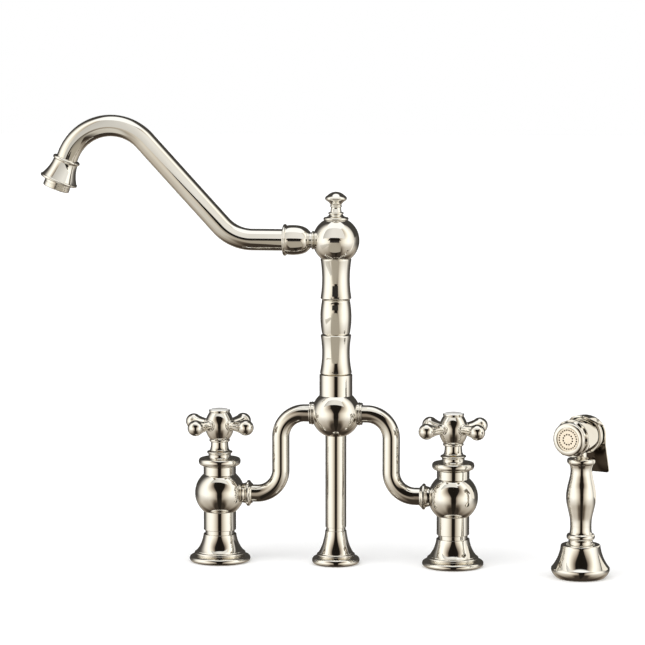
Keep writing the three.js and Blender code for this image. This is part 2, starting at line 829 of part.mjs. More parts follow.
// Along the head's axis, distances count back from the handle's axis, so the front is negative.
const head = {
  flange: 15.8, flangeAt: -16, barrel: 14.1, barrelAt: -15.5, barrelSwell: 15, barrelEnd: 5,
  rear: 15.3, rearEdge: 0.5, back: 10, cavity: 9.9, cavityBack: -9.2, plungerBore: 3.2, plungerEnd: -7.5,
};
const nozzle = { front: -26.5, radius: 13.8, edge: 2.4, lip: 9.9, throat: 8.2, back: -22.4, break: 0.6 };
const hexRing = { corner: 16.4, edge: 0.7, thickness: 3.2 };
const face = { radius: 9.6, thickness: 2, innerAt: 4.4, outerAt: 8, inner: 12, outer: 24, hole: 0.45 };
const pin = { radius: 1.1, back: 7.5, height: 13, reach: 12.2 };
const hexBack = nozzle.back + seat + hexRing.thickness;

// Turned about the head's axis instead of upright.
const lying = (outline, sides) => turned(outline, sides).rotateX(-Math.PI / 2);

const pinHole = () =>
  rod(pin.radius + slip, -pin.reach - through, pin.reach + through, small)
    .rotateY(Math.PI / 2)
    .translate(0, pin.back, pin.height);

function sprayHead() {
  const barrel = lying(
    new Outline(head.cavity, hexBack + seat)
      .to(head.flange, hexBack + seat)
      .to(head.flange, head.flangeAt)
      .to(head.barrel, head.barrelAt)
      .curve(head.barrelSwell, (head.flangeAt + head.barrelEnd) / 2, head.barrel, head.barrelEnd, 4)
      .to(head.rear, head.barrelEnd)
      .bead(head.rearEdge, head.back)
      .to(head.plungerBore, head.back)
      .to(head.plungerBore, head.plungerEnd)
      .to(0, head.plungerEnd)
      .to(0, head.cavityBack)
      .to(head.cavity, head.cavityBack)
      .close(),
    fine,
  );
  const socket = rod(handle.neck + slip, -head.flange, seat - headRise, fine);
  return shaped(solid(barrel).subtract(solid(socket)).subtract(solid(pinHole())));
}

function sprayNozzle() {
  const discSeat = nozzle.front + face.thickness + 2 * seat;
  return lying(
    new Outline(nozzle.lip, nozzle.front)
      .to(nozzle.radius - nozzle.edge, nozzle.front)
      .curve(nozzle.radius, nozzle.front, nozzle.radius, nozzle.front + nozzle.edge)
      .to(nozzle.radius, nozzle.back - nozzle.break)
      .to(nozzle.radius - nozzle.break, nozzle.back)
      .to(nozzle.throat, nozzle.back)
      .to(nozzle.throat, discSeat)
      .to(nozzle.lip, discSeat)
      .close(),
    fine,
  );
}

// The ring with six flats that the nozzle is screwed up against.
const sprayHexRing = () =>
  lying(
    new Outline(head.cavity, nozzle.back + seat)
      .to(hexRing.corner - hexRing.edge, nozzle.back + seat)
      .to(hexRing.corner, nozzle.back + seat + hexRing.edge)
      .to(hexRing.corner, hexBack)
      .to(head.cavity, hexBack)
      .close(),
    6,
  );

// The perforated face: one circle of holes inside another.
function sprayFace() {
  const plate = circle(face.radius, fine);
  for (const [count, at] of [[face.inner, face.innerAt], [face.outer, face.outerAt]]) {
    for (let i = 0; i < count; i++) {
      const angle = (2 * Math.PI * i) / count;
      plate.holes.push(hole(at * Math.cos(angle), at * Math.sin(angle), face.hole, 4));
    }
  }
  return plateOf(plate, face.thickness)
    .rotateX(-Math.PI / 2)
    .translate(0, nozzle.front + seat, 0);
}

// The lever: a hood over the top of the head, and a plate that hangs down behind the handle.
const lever = {
  inner: 16.3, thickness: 1.4, hoodFront: -4, hoodAngle: 60,
  plateFront: 12.8, bendAt: -7.5, bendWidth: 32, foot: -33.5, footBack: 12, footWidth: 28.4, corner: 2.5,
};
const leverOuter = lever.inner + lever.thickness;

function leverHood() {
  const from = radians(90 - lever.hoodAngle);
  const upTo = radians(90 + lever.hoodAngle);
  const section = new THREE.Shape()
    .absarc(0, 0, leverOuter, from, upTo)
    .absarc(0, 0, lever.inner, upTo, from, true);
  return plateOf(section, lever.plateFront + lever.thickness / 2 - lever.hoodFront, 5)
    .rotateX(Math.PI / 2)
    .translate(0, lever.plateFront + lever.thickness / 2, 0);
}

function leverPlate() {
  const side = new THREE.Shape([
    new THREE.Vector2(lever.plateFront, leverOuter),
    new THREE.Vector2(lever.plateFront, lever.bendAt),
    new THREE.Vector2(lever.plateFront + lever.footBack, lever.foot),
    new THREE.Vector2(lever.plateFront + lever.footBack + lever.thickness, lever.foot),
    new THREE.Vector2(lever.plateFront + lever.thickness, lever.bendAt),
    new THREE.Vector2(lever.plateFront + lever.thickness, leverOuter),
  ]);
  const sheet = plateOf(side, 2 * leverOuter)
    .rotateX(Math.PI / 2)
    .rotateZ(Math.PI / 2)
    .translate(-leverOuter, 0, 0);
  const bend = lever.bendWidth / 2;
  const foot = lever.footWidth / 2;
  const front = new THREE.Shape()
    .moveTo(-foot + lever.corner, lever.foot)
    .lineTo(foot - lever.corner, lever.foot)
    .quadraticCurveTo(foot, lever.foot, foot, lever.foot + lever.corner)
    .lineTo(bend, lever.bendAt)
    .absarc(0, 0, leverOuter, 0, Math.PI)
    .lineTo(-bend, lever.bendAt)
    .lineTo(-foot, lever.foot + lever.corner)
    .quadraticCurveTo(-foot, lever.foot, -foot + lever.corner, lever.foot);
  const outline = plateOf(front, 3 * leverOuter, 5).rotateX(Math.PI / 2).translate(0, 3 * leverOuter, 0);
  return solid(sheet).intersect(solid(outline));
}

const sprayLever = () => shaped(leverPlate().add(solid(leverHood())).subtract(solid(pinHole())));

const leverPin = () =>
  rod(pin.radius, -pin.reach, pin.reach, small).rotateY(Math.PI / 2).translate(0, pin.back, pin.height);

const plunger = { radius: 2.7, front: -1, chamfer: 0.8 };

const sprayPlunger = () =>
  lying(
    new Outline(0, plunger.front)
      .to(plunger.radius, plunger.front)
      .to(plunger.radius, lever.plateFront - seat - plunger.chamfer)
      .to(plunger.radius - plunger.chamfer, lever.plateFront - seat)
      .to(0, lever.plateFront - seat),
    small,
  );

// The spring between the plunger and the end of its bore.
const spring = { coil: 2.1, wire: 0.35, turns: 4, stepsPerTurn: 7 };

class Helix extends THREE.Curve {
  getPoint(t) {
    const angle = 2 * Math.PI * spring.turns * t;
    const front = head.plungerEnd + spring.wire + seat;
    const back = plunger.front - spring.wire - seat;
    return new THREE.Vector3(
      spring.coil * Math.cos(angle), front + t * (back - front), spring.coil * Math.sin(angle));
  }
}

const plungerSpring = () =>
  new THREE.ExtrudeGeometry(circle(spring.wire, 4), {
    steps: spring.turns * spring.stepsPerTurn,
    extrudePath: new Helix(),
  });

// ---- Assembly

const faucet = new THREE.Group();

function valveSet(name, side, handleAngle) {
  const stand = groupAt(faucet, (side * valveSpacing) / 2, 0, 0);
  const toHub = side > 0 ? Math.PI : 0;
  add(stand, "deck_gasket_" + name, deckGasket(deckFlange.foot), rubber);
  add(stand, "deck_flange_" + name, bellFlange(deckFlange, valve.neck + slip), nickel);
  const body = groupAt(stand, 0, 0, portHeight);
  add(body, "valve_body_" + name, valveBody(), nickel).rotation.z = toHub;
  add(body, "union_collar_" + name, unionCollar(), nickel).rotation.z = toHub;
  add(body, "cartridge_body_" + name, cartridgeBody(), brass);
  add(body, "fixed_disc_" + name, ceramicDisc(discBottom), ceramic);
  add(body, "bonnet_ring_" + name, bonnetRing(), nickel);
  const turning = groupAt(body, 0, 0, 0);
  turning.rotation.z = radians(handleAngle);
  add(turning, "moving_disc_" + name, ceramicDisc(movingDiscBottom), ceramic);
  add(turning, "stem_" + name, valveStem(), brass);
  add(turning, "handle_skirt_" + name, handleSkirt(), nickel);
  add(turning, "handle_cross_" + name, handleCross(), nickel);
  add(turning, "handle_screw_" + name, handleScrew(), steel);
  add(turning, "button_bezel_" + name, buttonBezel(), nickel);
  add(turning, "index_button_" + name, indexButton(), porcelain);
  const bridge = add(faucet, "bridge_arm_" + name, bridgeArm(), nickel);
  bridge.rotation.z = side > 0 ? 0 : Math.PI;
}

const handleAngles = { hot: 56.6, cold: 45.8 }; // degrees, as photographed
valveSet("hot", -1, handleAngles.hot);
valveSet("cold", 1, handleAngles.cold);

add(faucet, "post_gasket", deckGasket(postFlange.foot), rubber);
add(faucet, "post_flange", bellFlange(postFlange, post.shank + slip), nickel);
add(faucet, "support_post", postTube(), nickel);
add(groupAt(faucet, 0, 0, hubCentre), "hub_body", hubBody(), nickel);
add(faucet, "diverter_sleeve", diverterSleeve(), brass);
add(faucet, "diverter_spool", diverterSpool(), acetal);

add(faucet, "swivel_spigot", swivelSpigot(), brass);
add(faucet, "swivel_seal", swivelSeal(), rubber);
const spigotAbove = spigot.above - running + seat;
add(faucet, "riser_lower", riserSleeve(riserLower, riserBottom, spigotRadius + slip, spigotAbove), nickel);
add(faucet, "riser_middle", riserSleeve(riserMiddle, middleBottom, spigotSocket, spigotSocketDepth), nickel);
add(faucet, "riser_upper", riserSleeve(riserUpper, upperBottom, spigotSocket, spigotSocketDepth), nickel);
const spoutAxis = groupAt(faucet, 0, 0, spoutHeight);
add(spoutAxis, "spout_ball", upperBall(), nickel);
add(spoutAxis, "coupling_nipple", couplingNipple(), nickel);
add(spoutAxis, "coupling_bell", couplingBell(), nickel);
add(spoutAxis, "spout_tube", tube(spoutLine(), spout.radius, spout.wall, spout.sides), nickel);
add(groupAt(faucet, 0, 0, finialBottom), "finial", ballFinial(), nickel);

const spoutEnd = spoutLine();
spoutEnd.run(-outlet.insert);
const outletGroup = groupAt(spoutAxis, spoutEnd.x, 0, spoutEnd.z);
outletGroup.rotation.y = (3 * Math.PI) / 2 - spoutEnd.heading;
add(outletGroup, "aerator_housing", aeratorHousing(), nickel);
add(outletGroup, "aerator_insert", aeratorInsert(), nickel);

const sprayGroup = groupAt(faucet, spray.x, spray.y, 0);
sprayGroup.rotation.z = radians(spray.turn);
add(sprayGroup, "holder_gasket", deckGasket(holder.foot), rubber);
add(sprayGroup, "spray_holder", sprayHolder(), nickel);
add(sprayGroup, "holder_liner", holderLiner(), acetal);
add(sprayGroup, "spray_handle", sprayHandle(), nickel);
const headGroup = groupAt(sprayGroup, 0, 0, handle.top + headRise);
add(headGroup, "spray_head", sprayHead(), nickel);
add(headGroup, "spray_hex_ring", sprayHexRing(), nickel);
add(headGroup, "spray_nozzle", sprayNozzle(), nickel);
add(headGroup, "spray_face", sprayFace(), nickel);
add(headGroup, "spray_lever", sprayLever(), nickel);
add(headGroup, "lever_pin", leverPin(), steel);
add(headGroup, "spray_plunger", sprayPlunger(), brass);
add(headGroup, "plunger_spring", plungerSpring(), steel);

// The origin is the centre of the footprint.
const bounds = new THREE.Box3().setFromObject(faucet, true);
const centre = bounds.getCenter(new THREE.Vector3());
faucet.position.set(-centre.x, -centre.y, -bounds.min.z);

export default faucet;
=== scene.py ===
import json
from math import acos, cos, pi, radians, sin, sqrt, tan

import bmesh
import bpy
from mathutils import Matrix, Vector

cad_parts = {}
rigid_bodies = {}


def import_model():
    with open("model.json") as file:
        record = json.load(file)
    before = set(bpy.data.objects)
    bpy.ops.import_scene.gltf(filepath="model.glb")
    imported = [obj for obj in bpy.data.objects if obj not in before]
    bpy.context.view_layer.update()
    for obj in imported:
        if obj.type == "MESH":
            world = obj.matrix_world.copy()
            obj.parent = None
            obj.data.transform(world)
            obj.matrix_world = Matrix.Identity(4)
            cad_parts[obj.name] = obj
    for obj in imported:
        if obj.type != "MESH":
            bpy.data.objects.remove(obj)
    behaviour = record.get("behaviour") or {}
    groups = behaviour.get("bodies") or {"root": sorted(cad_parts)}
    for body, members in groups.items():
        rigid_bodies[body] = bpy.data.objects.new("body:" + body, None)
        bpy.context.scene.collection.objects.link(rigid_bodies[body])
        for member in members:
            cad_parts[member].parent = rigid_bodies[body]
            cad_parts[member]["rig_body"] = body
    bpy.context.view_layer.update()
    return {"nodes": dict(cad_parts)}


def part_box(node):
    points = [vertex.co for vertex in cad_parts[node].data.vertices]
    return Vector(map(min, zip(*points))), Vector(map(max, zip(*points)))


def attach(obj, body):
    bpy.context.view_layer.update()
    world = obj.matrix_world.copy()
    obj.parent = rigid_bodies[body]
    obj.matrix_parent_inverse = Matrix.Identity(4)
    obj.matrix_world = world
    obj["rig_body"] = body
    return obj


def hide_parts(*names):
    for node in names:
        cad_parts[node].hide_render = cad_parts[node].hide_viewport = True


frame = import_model()
mm = 0.001
seat = 0.3  # the gap that the solids leave where one piece rests on another
slip = 0.4  # and round a piece fixed in another
print("frame loaded,", len(frame["nodes"]), "nodes")


# A dictionary whose entries also read as its attributes.
class Settings(dict):
    __getattr__ = dict.__getitem__


# Places, from the frame

def centreOf(node):
    low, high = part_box(node)
    return (low + high) / 2


def footOf(node):
    low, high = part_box(node)
    return Vector(((low.x + high.x) / 2, (low.y + high.y) / 2, low.z))


deck = footOf("post_flange")
upright = Matrix.Identity(4)
alongX = Matrix.Rotation(pi / 2, 4, "Y")  # a turned piece's height then runs along +X


def above(point, height):
    return point + Vector((0, 0, height * mm))


# Outlines of turned pieces

class Profile:
    # Radii and heights, up the outside and down the bore. An edge is a corner's rounding.
    def __init__(self, radius, height, edge=0):
        self.points = [(radius, height, edge)]

    def to(self, radius, height, edge=0):
        self.points.append((radius, height, edge))
        return self

    # Straight up or down to a height, and straight in or out to a radius.
    def up(self, height, edge=0):
        return self.to(self.points[-1][0], height, edge)

    def across(self, radius, edge=0):
        return self.to(radius, self.points[-1][1], edge)

    def along(self, steps, place):
        for i in range(1, steps + 1):
            self.to(*place(i / steps))
        return self

    def curve(self, pullRadius, pullHeight, radius, height, steps=20):
        startRadius, startHeight, _ = self.points[-1]

        def place(t):
            a, b, c = (1 - t) ** 2, 2 * t * (1 - t), t**2
            return (
                a * startRadius + b * pullRadius + c * radius,
                a * startHeight + b * pullHeight + c * height,
            )

        return self.along(steps, place)

    # A smooth line through stations of radius and height, level with the axis at its last one.
    def sway(self, stations, steps=10):
        places = [self.points[-1][:2], *stations]
        for i in range(len(places) - 1):
            before, start, end, after = (places[min(max(k, 0), len(places) - 1)] for k in range(i - 1, i + 3))

            def place(t):
                return tuple(
                    b + 0.5 * t * (c - a + t * (2 * a - 5 * b + 4 * c - d + t * (3 * (b - c) + d - a)))
                    for a, b, c, d in zip(before, start, end, after)
                )

            self.along(steps, place)
        return self

    # A half-round bead that stands out by its bulge, up to a height.
    def bead(self, bulge, height, steps=16):
        radius, start, _ = self.points[-1]
        half = (height - start) / 2
        return self.along(
            steps,
            lambda t: (radius + bulge * sin(pi * t), start + half - half * cos(pi * t)),
        )

    # A ball on the axis, from this radius below its centre to a radius above it.
    def ball(self, size, centre, upperRadius, steps=56):
        start = -acos(self.points[-1][0] / size)
        end = acos(upperRadius / size)

        def place(t):
            angle = start + t * (end - start)
            return (max(size * cos(angle), 0), centre + size * sin(angle))

        return self.along(steps, place)

    # The groove for a gasket in a flat underside, on the way out to a foot.
    def groove(self, foot):
        outer = foot - gasket.inset + slip
        inner = foot - gasket.inset - gasket.width - slip
        roof = gasket.thickness + seat
        return self.to(inner, 0).to(inner, roof).to(outer, roof).to(outer, 0)

    def outline(self):
        result = []
        count = len(self.points)
        for i, (radius, height, edge) in enumerate(self.points):
            corner = Vector((radius, height))
            if not edge:
                result.append(corner)
                continue
            before = Vector(self.points[i - 1][:2]) - corner
            after = Vector(self.points[(i + 1) % count][:2]) - corner
            reach = min(edge / tan(before.angle(after) / 2), 0.45 * before.length, 0.45 * after.length)
            start = corner + reach * before.normalized()
            end = corner + reach * after.normalized()
            for step in range(6):
                t = step / 5
                result.append((1 - t) ** 2 * start + 2 * t * (1 - t) * corner + t**2 * end)
        return result


gasket = Settings(thickness=2, width=4, inset=6.5)


def ballHeight(size, radius):
    return sqrt(size**2 - radius**2)


# Meshes

def meshOf(points, faces):
    mesh = bpy.data.meshes.new("mesh")
    mesh.from_pydata([Vector(p) * mm for p in points], [], faces)
    mesh.update()
    return mesh


# Doubled points welded, hairline slits filled, and every face turned outwards.
def closed(mesh, weld=0.0005):
    shape = bmesh.new()
    shape.from_mesh(mesh)
    bmesh.ops.remove_doubles(shape, verts=shape.verts, dist=weld * mm)
    bmesh.ops.holes_fill(shape, edges=[e for e in shape.edges if len(e.link_faces) == 1])
    bmesh.ops.recalc_face_normals(shape, faces=shape.faces)
    shape.to_mesh(mesh)
    shape.free()
    return mesh


# Flats cut a turned piece to a polygon: their number, and how far they are from the axis.
def turned(profile, sides=96, flats=None):
    points, rings = [], []
    for radius, height in profile.outline():
        ring = []
        for k in range(1 if radius < 1e-6 else sides):
            angle = 2 * pi * k / sides
            reach = radius
            if flats:
                count, apothem = flats
                reach = min(radius, apothem / cos((angle + pi / count) % (2 * pi / count) - pi / count))
            ring.append(len(points))
            points.append((reach * cos(angle), reach * sin(angle), height))
        rings.append(ring)
    if len(rings[0]) > 1:
        rings.append(rings[0])
    faces = []
    for low, high in zip(rings, rings[1:]):
        if len(low) == len(high) == 1:
            continue
        for k in range(sides):
            n = k + 1
            corners = [low[k % len(low)], low[n % len(low)], high[n % len(high)], high[k % len(high)]]
            faces.append(list(dict.fromkeys(corners)))
    return meshOf(points, faces)


# A tube's centre line in the plane of X and Z: places and headings, every few degrees or millimetres.
def bentLine(x, z, heading, legs):
    stations = [(x, z, heading)]
    for length, angle, radius in legs:
        if length:
            steps = max(2, round(length / 4))
            for _ in range(steps):
                x += length / steps * cos(heading)
                z += length / steps * sin(heading)
                stations.append((x, z, heading))
        if angle:
            steps = max(2, round(abs(angle) / 2.5))
            side = radius if angle > 0 else -radius
            centreX = x - side * sin(heading)
            centreZ = z + side * cos(heading)
            start = heading
            for i in range(1, steps + 1):
                heading = start + radians(angle) * i / steps
                x = centreX + side * sin(heading)
                z = centreZ - side * cos(heading)
                stations.append((x, z, heading))
    return stations


def tube(stations, radius, wall, sides=72):
    points, rings = [], []
    walls = [(station, radius) for station in stations]
    walls += [(station, radius - wall) for station in reversed(stations)]
    for (x, z, heading), reach in walls:
        ring = []
        for k in range(sides):
            angle = 2 * pi * k / sides
            across = reach * cos(angle)
            ring.append(len(points))
            points.append((x - across * sin(heading), reach * sin(angle), z + across * cos(heading)))
        rings.append(ring)
    rings.append(rings[0])
    faces = []
    for low, high in zip(rings, rings[1:]):
        for k in range(sides):
            n = (k + 1) % sides
            faces.append((low[k], high[k], high[n], low[n]))
    return meshOf(points, faces)


# A flat plate with holes, its corners softened, from z = 0 up.
def perforated(radius, thickness, holes, soft=0.12):
    flat = bpy.data.curves.new("plate", "CURVE")
    flat.dimensions = "2D"
    flat.fill_mode = "BOTH"
    flat.extrude = (thickness / 2 - soft) * mm
    flat.bevel_depth = soft * mm
    flat.bevel_resolution = 2
    for x, y, size, steps in [(0, 0, radius, 96)] + holes:
        spline = flat.splines.new("POLY")
        spline.points.add(steps - 1)
        inset = size - soft if size == radius else size + soft
        for k, point in enumerate(spline.points):
            angle = 2 * pi * k / steps
            point.co = ((x + inset * cos(angle)) * mm, (y + inset * sin(angle)) * mm, 0, 1)
        spline.use_cyclic_u = True
    holder = bpy.data.objects.new("plate", flat)
    mesh = bpy.data.meshes.new_from_object(holder)
    mesh.transform(Matrix.Translation((0, 0, thickness / 2 * mm)))
    bpy.data.objects.remove(holder)
    bpy.data.curves.remove(flat)
    return closed(mesh)


# Meshes joined into one solid, or the later ones cut out of the first.
def combined(operation, first, *others, bevel=None):
    held = []
    for mesh in (first, *others):
        holder = bpy.data.objects.new(mesh.name, mesh)
        bpy.context.scene.collection.objects.link(holder)
        held.append(holder)
    for other in held[1:]:
        step = held[0].modifiers.new(operation, "BOOLEAN")
        step.operation = operation
        step.solver = "EXACT"
        step.object = other
    if bevel:
        soft = held[0].modifiers.new("bevel", "BEVEL")
        soft.width = bevel * mm
        soft.segments = 3
        soft.limit_method = "ANGLE"
        soft.angle_limit = radians(40)
    graph = bpy.context.evaluated_depsgraph_get()
    result = bpy.data.meshes.new_from_object(held[0].evaluated_get(graph))
    for holder in held:
        bpy.data.objects.remove(holder)
    return result


def placed(mesh, *turns):
    for turn in turns:
        mesh.transform(turn)
    return mesh


# A finished piece: it stands for its CAD node, at that node's foot if not placed, and moves with its body.
def piece(node, mesh, at=None, turn=upright, material=None):
    made = bpy.data.objects.new(node + "Piece", mesh)
    bpy.context.scene.collection.objects.link(made)
    mesh.transform(turn)
    made.location = footOf(node) if at is None else at
    mesh.name = made.name
    mesh.materials.clear()
    mesh.materials.append(material or nickel)
    mesh.shade_smooth()
    mesh.set_sharp_from_angle(angle=radians(31))
    smooth = made.modifiers.new("weightedNormal", "WEIGHTED_NORMAL")
    smooth.keep_sharp = True
    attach(made, frame["nodes"][node]["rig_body"])
    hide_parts(node)
    return made


# Materials

def shader(tree, kind, inputs, **settings):
    made = tree.nodes.new("ShaderNode" + kind)
    for key, value in settings.items():
        setattr(made, key, value)
    for socket, value in inputs.items():
        if isinstance(value, bpy.types.NodeSocket):
            tree.links.new(value, made.inputs[socket])
        else:
            made.inputs[socket].default_value = value
    return made


def ramp(tree, value, stops):
    made = shader(tree, "ValToRGB", {"Fac": value})
    elements = made.color_ramp.elements
    while len(elements) < len(stops):
        elements.new(0.5)
    while len(elements) > len(stops):
        elements.remove(elements[-1])
    for element, (position, tint) in zip(elements, stops):
        element.position = position
        element.color = (*tint, 1)
    return made.outputs["Color"]


colour, number = "NodeSocketColor", "NodeSocketFloat"


def noise(tree, place, scale, detail):
    return shader(tree, "TexNoise", {"Vector": place, "Scale": scale, "Detail": detail}).outputs["Fac"]


def spread(tree, value, **limits):
    inputs = {"Value": value, **{key.replace("_", " "): limit for key, limit in limits.items()}}
    return shader(tree, "MapRange", inputs).outputs["Result"]


# Cloudy tone, hairline polishing marks and a faint ripple, as on plated and machined metal.
def metalMarks(tree, place, scale):
    cloud = spread(tree, noise(tree, place, 55, 3), From_Min=0.35, From_Max=0.68)
    stretched = shader(tree, "Mapping", {"Vector": place, "Scale": (900, 900, 60)}).outputs["Vector"]
    scaled = shader(tree, "VectorMath", {0: stretched, "Scale": scale}, operation="SCALE")
    fine = spread(tree, noise(tree, scaled.outputs["Vector"], 1, 4), From_Min=0.45, From_Max=0.75)
    both = shader(tree, "Math", {0: cloud, 1: fine, 2: fine}, operation="MULTIPLY_ADD").outputs[0]
    ripple = noise(tree, place, 320, 1)
    height = shader(tree, "Math", {0: fine, 1: 0.15, 2: ripple}, operation="MULTIPLY_ADD").outputs[0]
    return cloud, spread(tree, both, From_Max=2), height


# Slight mottling of colour and gloss, for glaze, moulded plastic and rubber.
def castMottle(tree, place, scale):
    grain = noise(tree, place, scale, 3)
    return noise(tree, place, 120, 2), grain, grain


# The effect gives how far to blend the tones and the roughness, and a height for the bump.
def finishGroup(name, effect, detail):
    tree = bpy.data.node_groups.new(name, "ShaderNodeTree")
    given = tree.nodes.new("NodeGroupInput").outputs
    out = tree.nodes.new("NodeGroupOutput").inputs
    for label, kind, value in (
        ("Tone", colour, (1, 1, 1, 1)),
        ("Deep Tone", colour, (1, 1, 1, 1)),
        ("Smooth", number, 0.05),
        ("Rough", number, 0.1),
        ("Detail Scale", number, detail),
    ):
        tree.interface.new_socket(label, in_out="INPUT", socket_type=kind).default_value = value
    for label, kind in (("Color", colour), ("Roughness", number), ("Height", number)):
        tree.interface.new_socket(label, in_out="OUTPUT", socket_type=kind)
    place = shader(tree, "TexCoord", {}).outputs["Object"]
    blend, gloss, height = effect(tree, place, given["Detail Scale"])
    both = {"Factor": blend, "A": given["Tone"], "B": given["Deep Tone"]}
    tone = shader(tree, "Mix", both, data_type="RGBA").outputs[2]
    tree.links.new(tone, out["Color"])
    tree.links.new(spread(tree, gloss, To_Min=given["Smooth"], To_Max=given["Rough"]), out["Roughness"])
    tree.links.new(height, out["Height"])
    return tree


metalFinish = finishGroup("metalFinish", metalMarks, 1)
castFinish = finishGroup("castFinish", castMottle, 200)


# Tone and deeper tone, then how smooth and how rough it gets, and how much its bump stands out.
def finish(name, group, tone, deep, smooth, rough, relief, detail=1, **principled):
    material = bpy.data.materials.new(name)
    material.use_nodes = True
    tree = material.node_tree
    surface = tree.nodes["Principled BSDF"]
    effect = tree.nodes.new("ShaderNodeGroup")
    effect.node_tree = group
    values = ((*tone, 1), (*deep, 1), smooth, rough, detail)
    for socket, value in zip(effect.inputs, values):
        socket.default_value = value
    height = {"Height": effect.outputs["Height"], "Strength": relief, "Distance": 0.0001}
    bump = shader(tree, "Bump", height)
    tree.links.new(effect.outputs["Color"], surface.inputs["Base Color"])
    tree.links.new(effect.outputs["Roughness"], surface.inputs["Roughness"])
    tree.links.new(bump.outputs["Normal"], surface.inputs["Normal"])
    for socket, value in principled.items():
        surface.inputs[socket.replace("_", " ")].default_value = value
    return material


def metal(name, tone, deep, smooth, rough, relief, detail):
    return finish(name, metalFinish, tone, deep, smooth, rough, relief, detail, Metallic=1)


nickel = metal("polishedNickel", (0.93, 0.91, 0.865), (0.905, 0.88, 0.825), 0.025, 0.07, 0.03, 1.4)
# Painted shade: a dark nickel for the lever plate's side towards the handle, standing in for the shade there.
paintedShadeNickel = metal("paintedShadeNickel", (0.16, 0.135, 0.11), (0.12, 0.1, 0.082), 0.1, 0.2, 0.03, 1.4)
satinNickel = metal("satinNickel", (0.99, 0.9, 0.78), (0.97, 0.87, 0.74), 0.3, 0.42, 0.1, 2.2)
brass = metal("brass", (0.62, 0.42, 0.16), (0.52, 0.33, 0.11), 0.22, 0.4, 0.3, 0.8)
steel = metal("stainlessSteel", (0.52, 0.51, 0.49), (0.44, 0.43, 0.41), 0.2, 0.35, 0.3, 1)
porcelain = finish(
    "porcelain", castFinish, (0.88, 0.87, 0.84), (0.83, 0.82, 0.78), 0.07, 0.12, 0.05, 180,
    Coat_Weight=0.7, Coat_Roughness=0.03,
)
alumina = finish("alumina", castFinish, (0.83, 0.82, 0.78), (0.76, 0.75, 0.71), 0.25, 0.4, 0.1, 900)
acetal = finish("acetal", castFinish, (0.66, 0.64, 0.57), (0.6, 0.58, 0.51), 0.38, 0.55, 0.25, 700)
rubber = finish("rubber", castFinish, (0.02, 0.02, 0.02), (0.035, 0.034, 0.032), 0.6, 0.8, 0.5, 500)
print("materials made")


# Valves: flange, body, union collar and bonnet stand still; the handle turns on its stem.

valveSettings = Settings(
    barrelFoot=-32.5, neck=12.7, neckTop=27.5, barrel=14.05, ball=21.5, inlet=7.5, chamber=9.8,
    chamberDepth=8, top=23.4, clearance=1,
)
flangeSettings = Settings(
    foot=26.5, footBulge=2.6, footHeight=5.2, stepHeight=0.8, step=21.9, ring=22.2, ringBulge=1.2,
    ringHeight=2.5, neck=20.4, mouth=14.3, height=24, bore=13.1,
)
postFlangeSettings = Settings(
    foot=20.6, footBulge=2.4, footHeight=6, stepHeight=0.8, step=16.4, ring=16.6, ringBulge=1.1,
    ringHeight=2.2, neck=15, mouth=9.2, height=29, bore=8.8,
)
collarSettings = Settings(
    start=20.4, bore=7.9, throat=8.5, flare=8.9, rim=11.25, rimAt=25.3, lip=1.1, edge=0.4,
    shoulder=8.95, shoulderAt=27.6, mouth=8.5, end=28.6,
)


# The neck's curve is pulled in and up by these shares of its run.
flangePull = (0.23, 0.35)


def bellFlange(s):
    ringFoot = s.footHeight + s.stepHeight
    ringTop = ringFoot + s.ringHeight
    neckHeight = ringTop + 0.7
    profile = Profile(s.bore, 0).groove(s.foot)
    profile.across(s.foot - s.footBulge).bead(s.footBulge, s.footHeight, 28)
    profile.to(s.step, s.footHeight + 0.15, 0.3)
    profile.to(s.ring - s.ringBulge, ringFoot).bead(s.ringBulge, ringTop, 18)
    profile.to(s.neck + 0.1, ringTop + 0.15, 0.1).to(s.neck, neckHeight, 0.1)
    profile.curve(
        s.mouth + flangePull[0] * (s.neck - s.mouth),
        neckHeight + flangePull[1] * (s.height - neckHeight),
        s.mouth,
        s.height - 0.8,
        40,
    )
    profile.up(s.height, 0.45).across(s.bore, 0.2)
    return turned(profile, 128)


def valveBody():
    s = valveSettings
    bottom = s.clearance - s.neckTop + s.barrelFoot
    profile = Profile(s.inlet, bottom).across(s.neck, 0.4).up(s.barrelFoot)
    profile.across(s.barrel, 0.55).up(-ballHeight(s.ball, s.barrel))
    profile.ball(s.ball, 0, s.barrel, 80)
    profile.up(s.top, 0.3).across(s.chamber, 0.3)
    profile.up(-s.chamberDepth).across(s.inlet)
    return turned(profile, 128)


def unionCollar():
    s = collarSettings
    rimFoot = s.rimAt - s.lip
    profile = Profile(s.bore, s.start).across(s.throat)
    profile.curve(s.flare, rimFoot, s.rim - s.edge, rimFoot, 24)
    profile.to(s.rim, s.rimAt - 0.6, 0.4).up(s.rimAt + 0.6, 0.5)
    profile.to(s.rim - s.edge, s.rimAt + s.lip, 0.3)
    profile.curve(s.shoulder, s.shoulderAt, s.mouth, s.end, 20).across(s.bore, 0.2)
    return turned(profile)


bonnetSettings = Settings(
    bore=9.8, stemBore=4, recess=2.6, foot=14.05, rim=18.2, rimAt=3.7, rimHeight=6.8, top=15.9,
    dish=11.9, neck=9.7, neckAt=9, lip=10.3, lipAt=11.2, lipBulge=0.8, height=12.9,
)


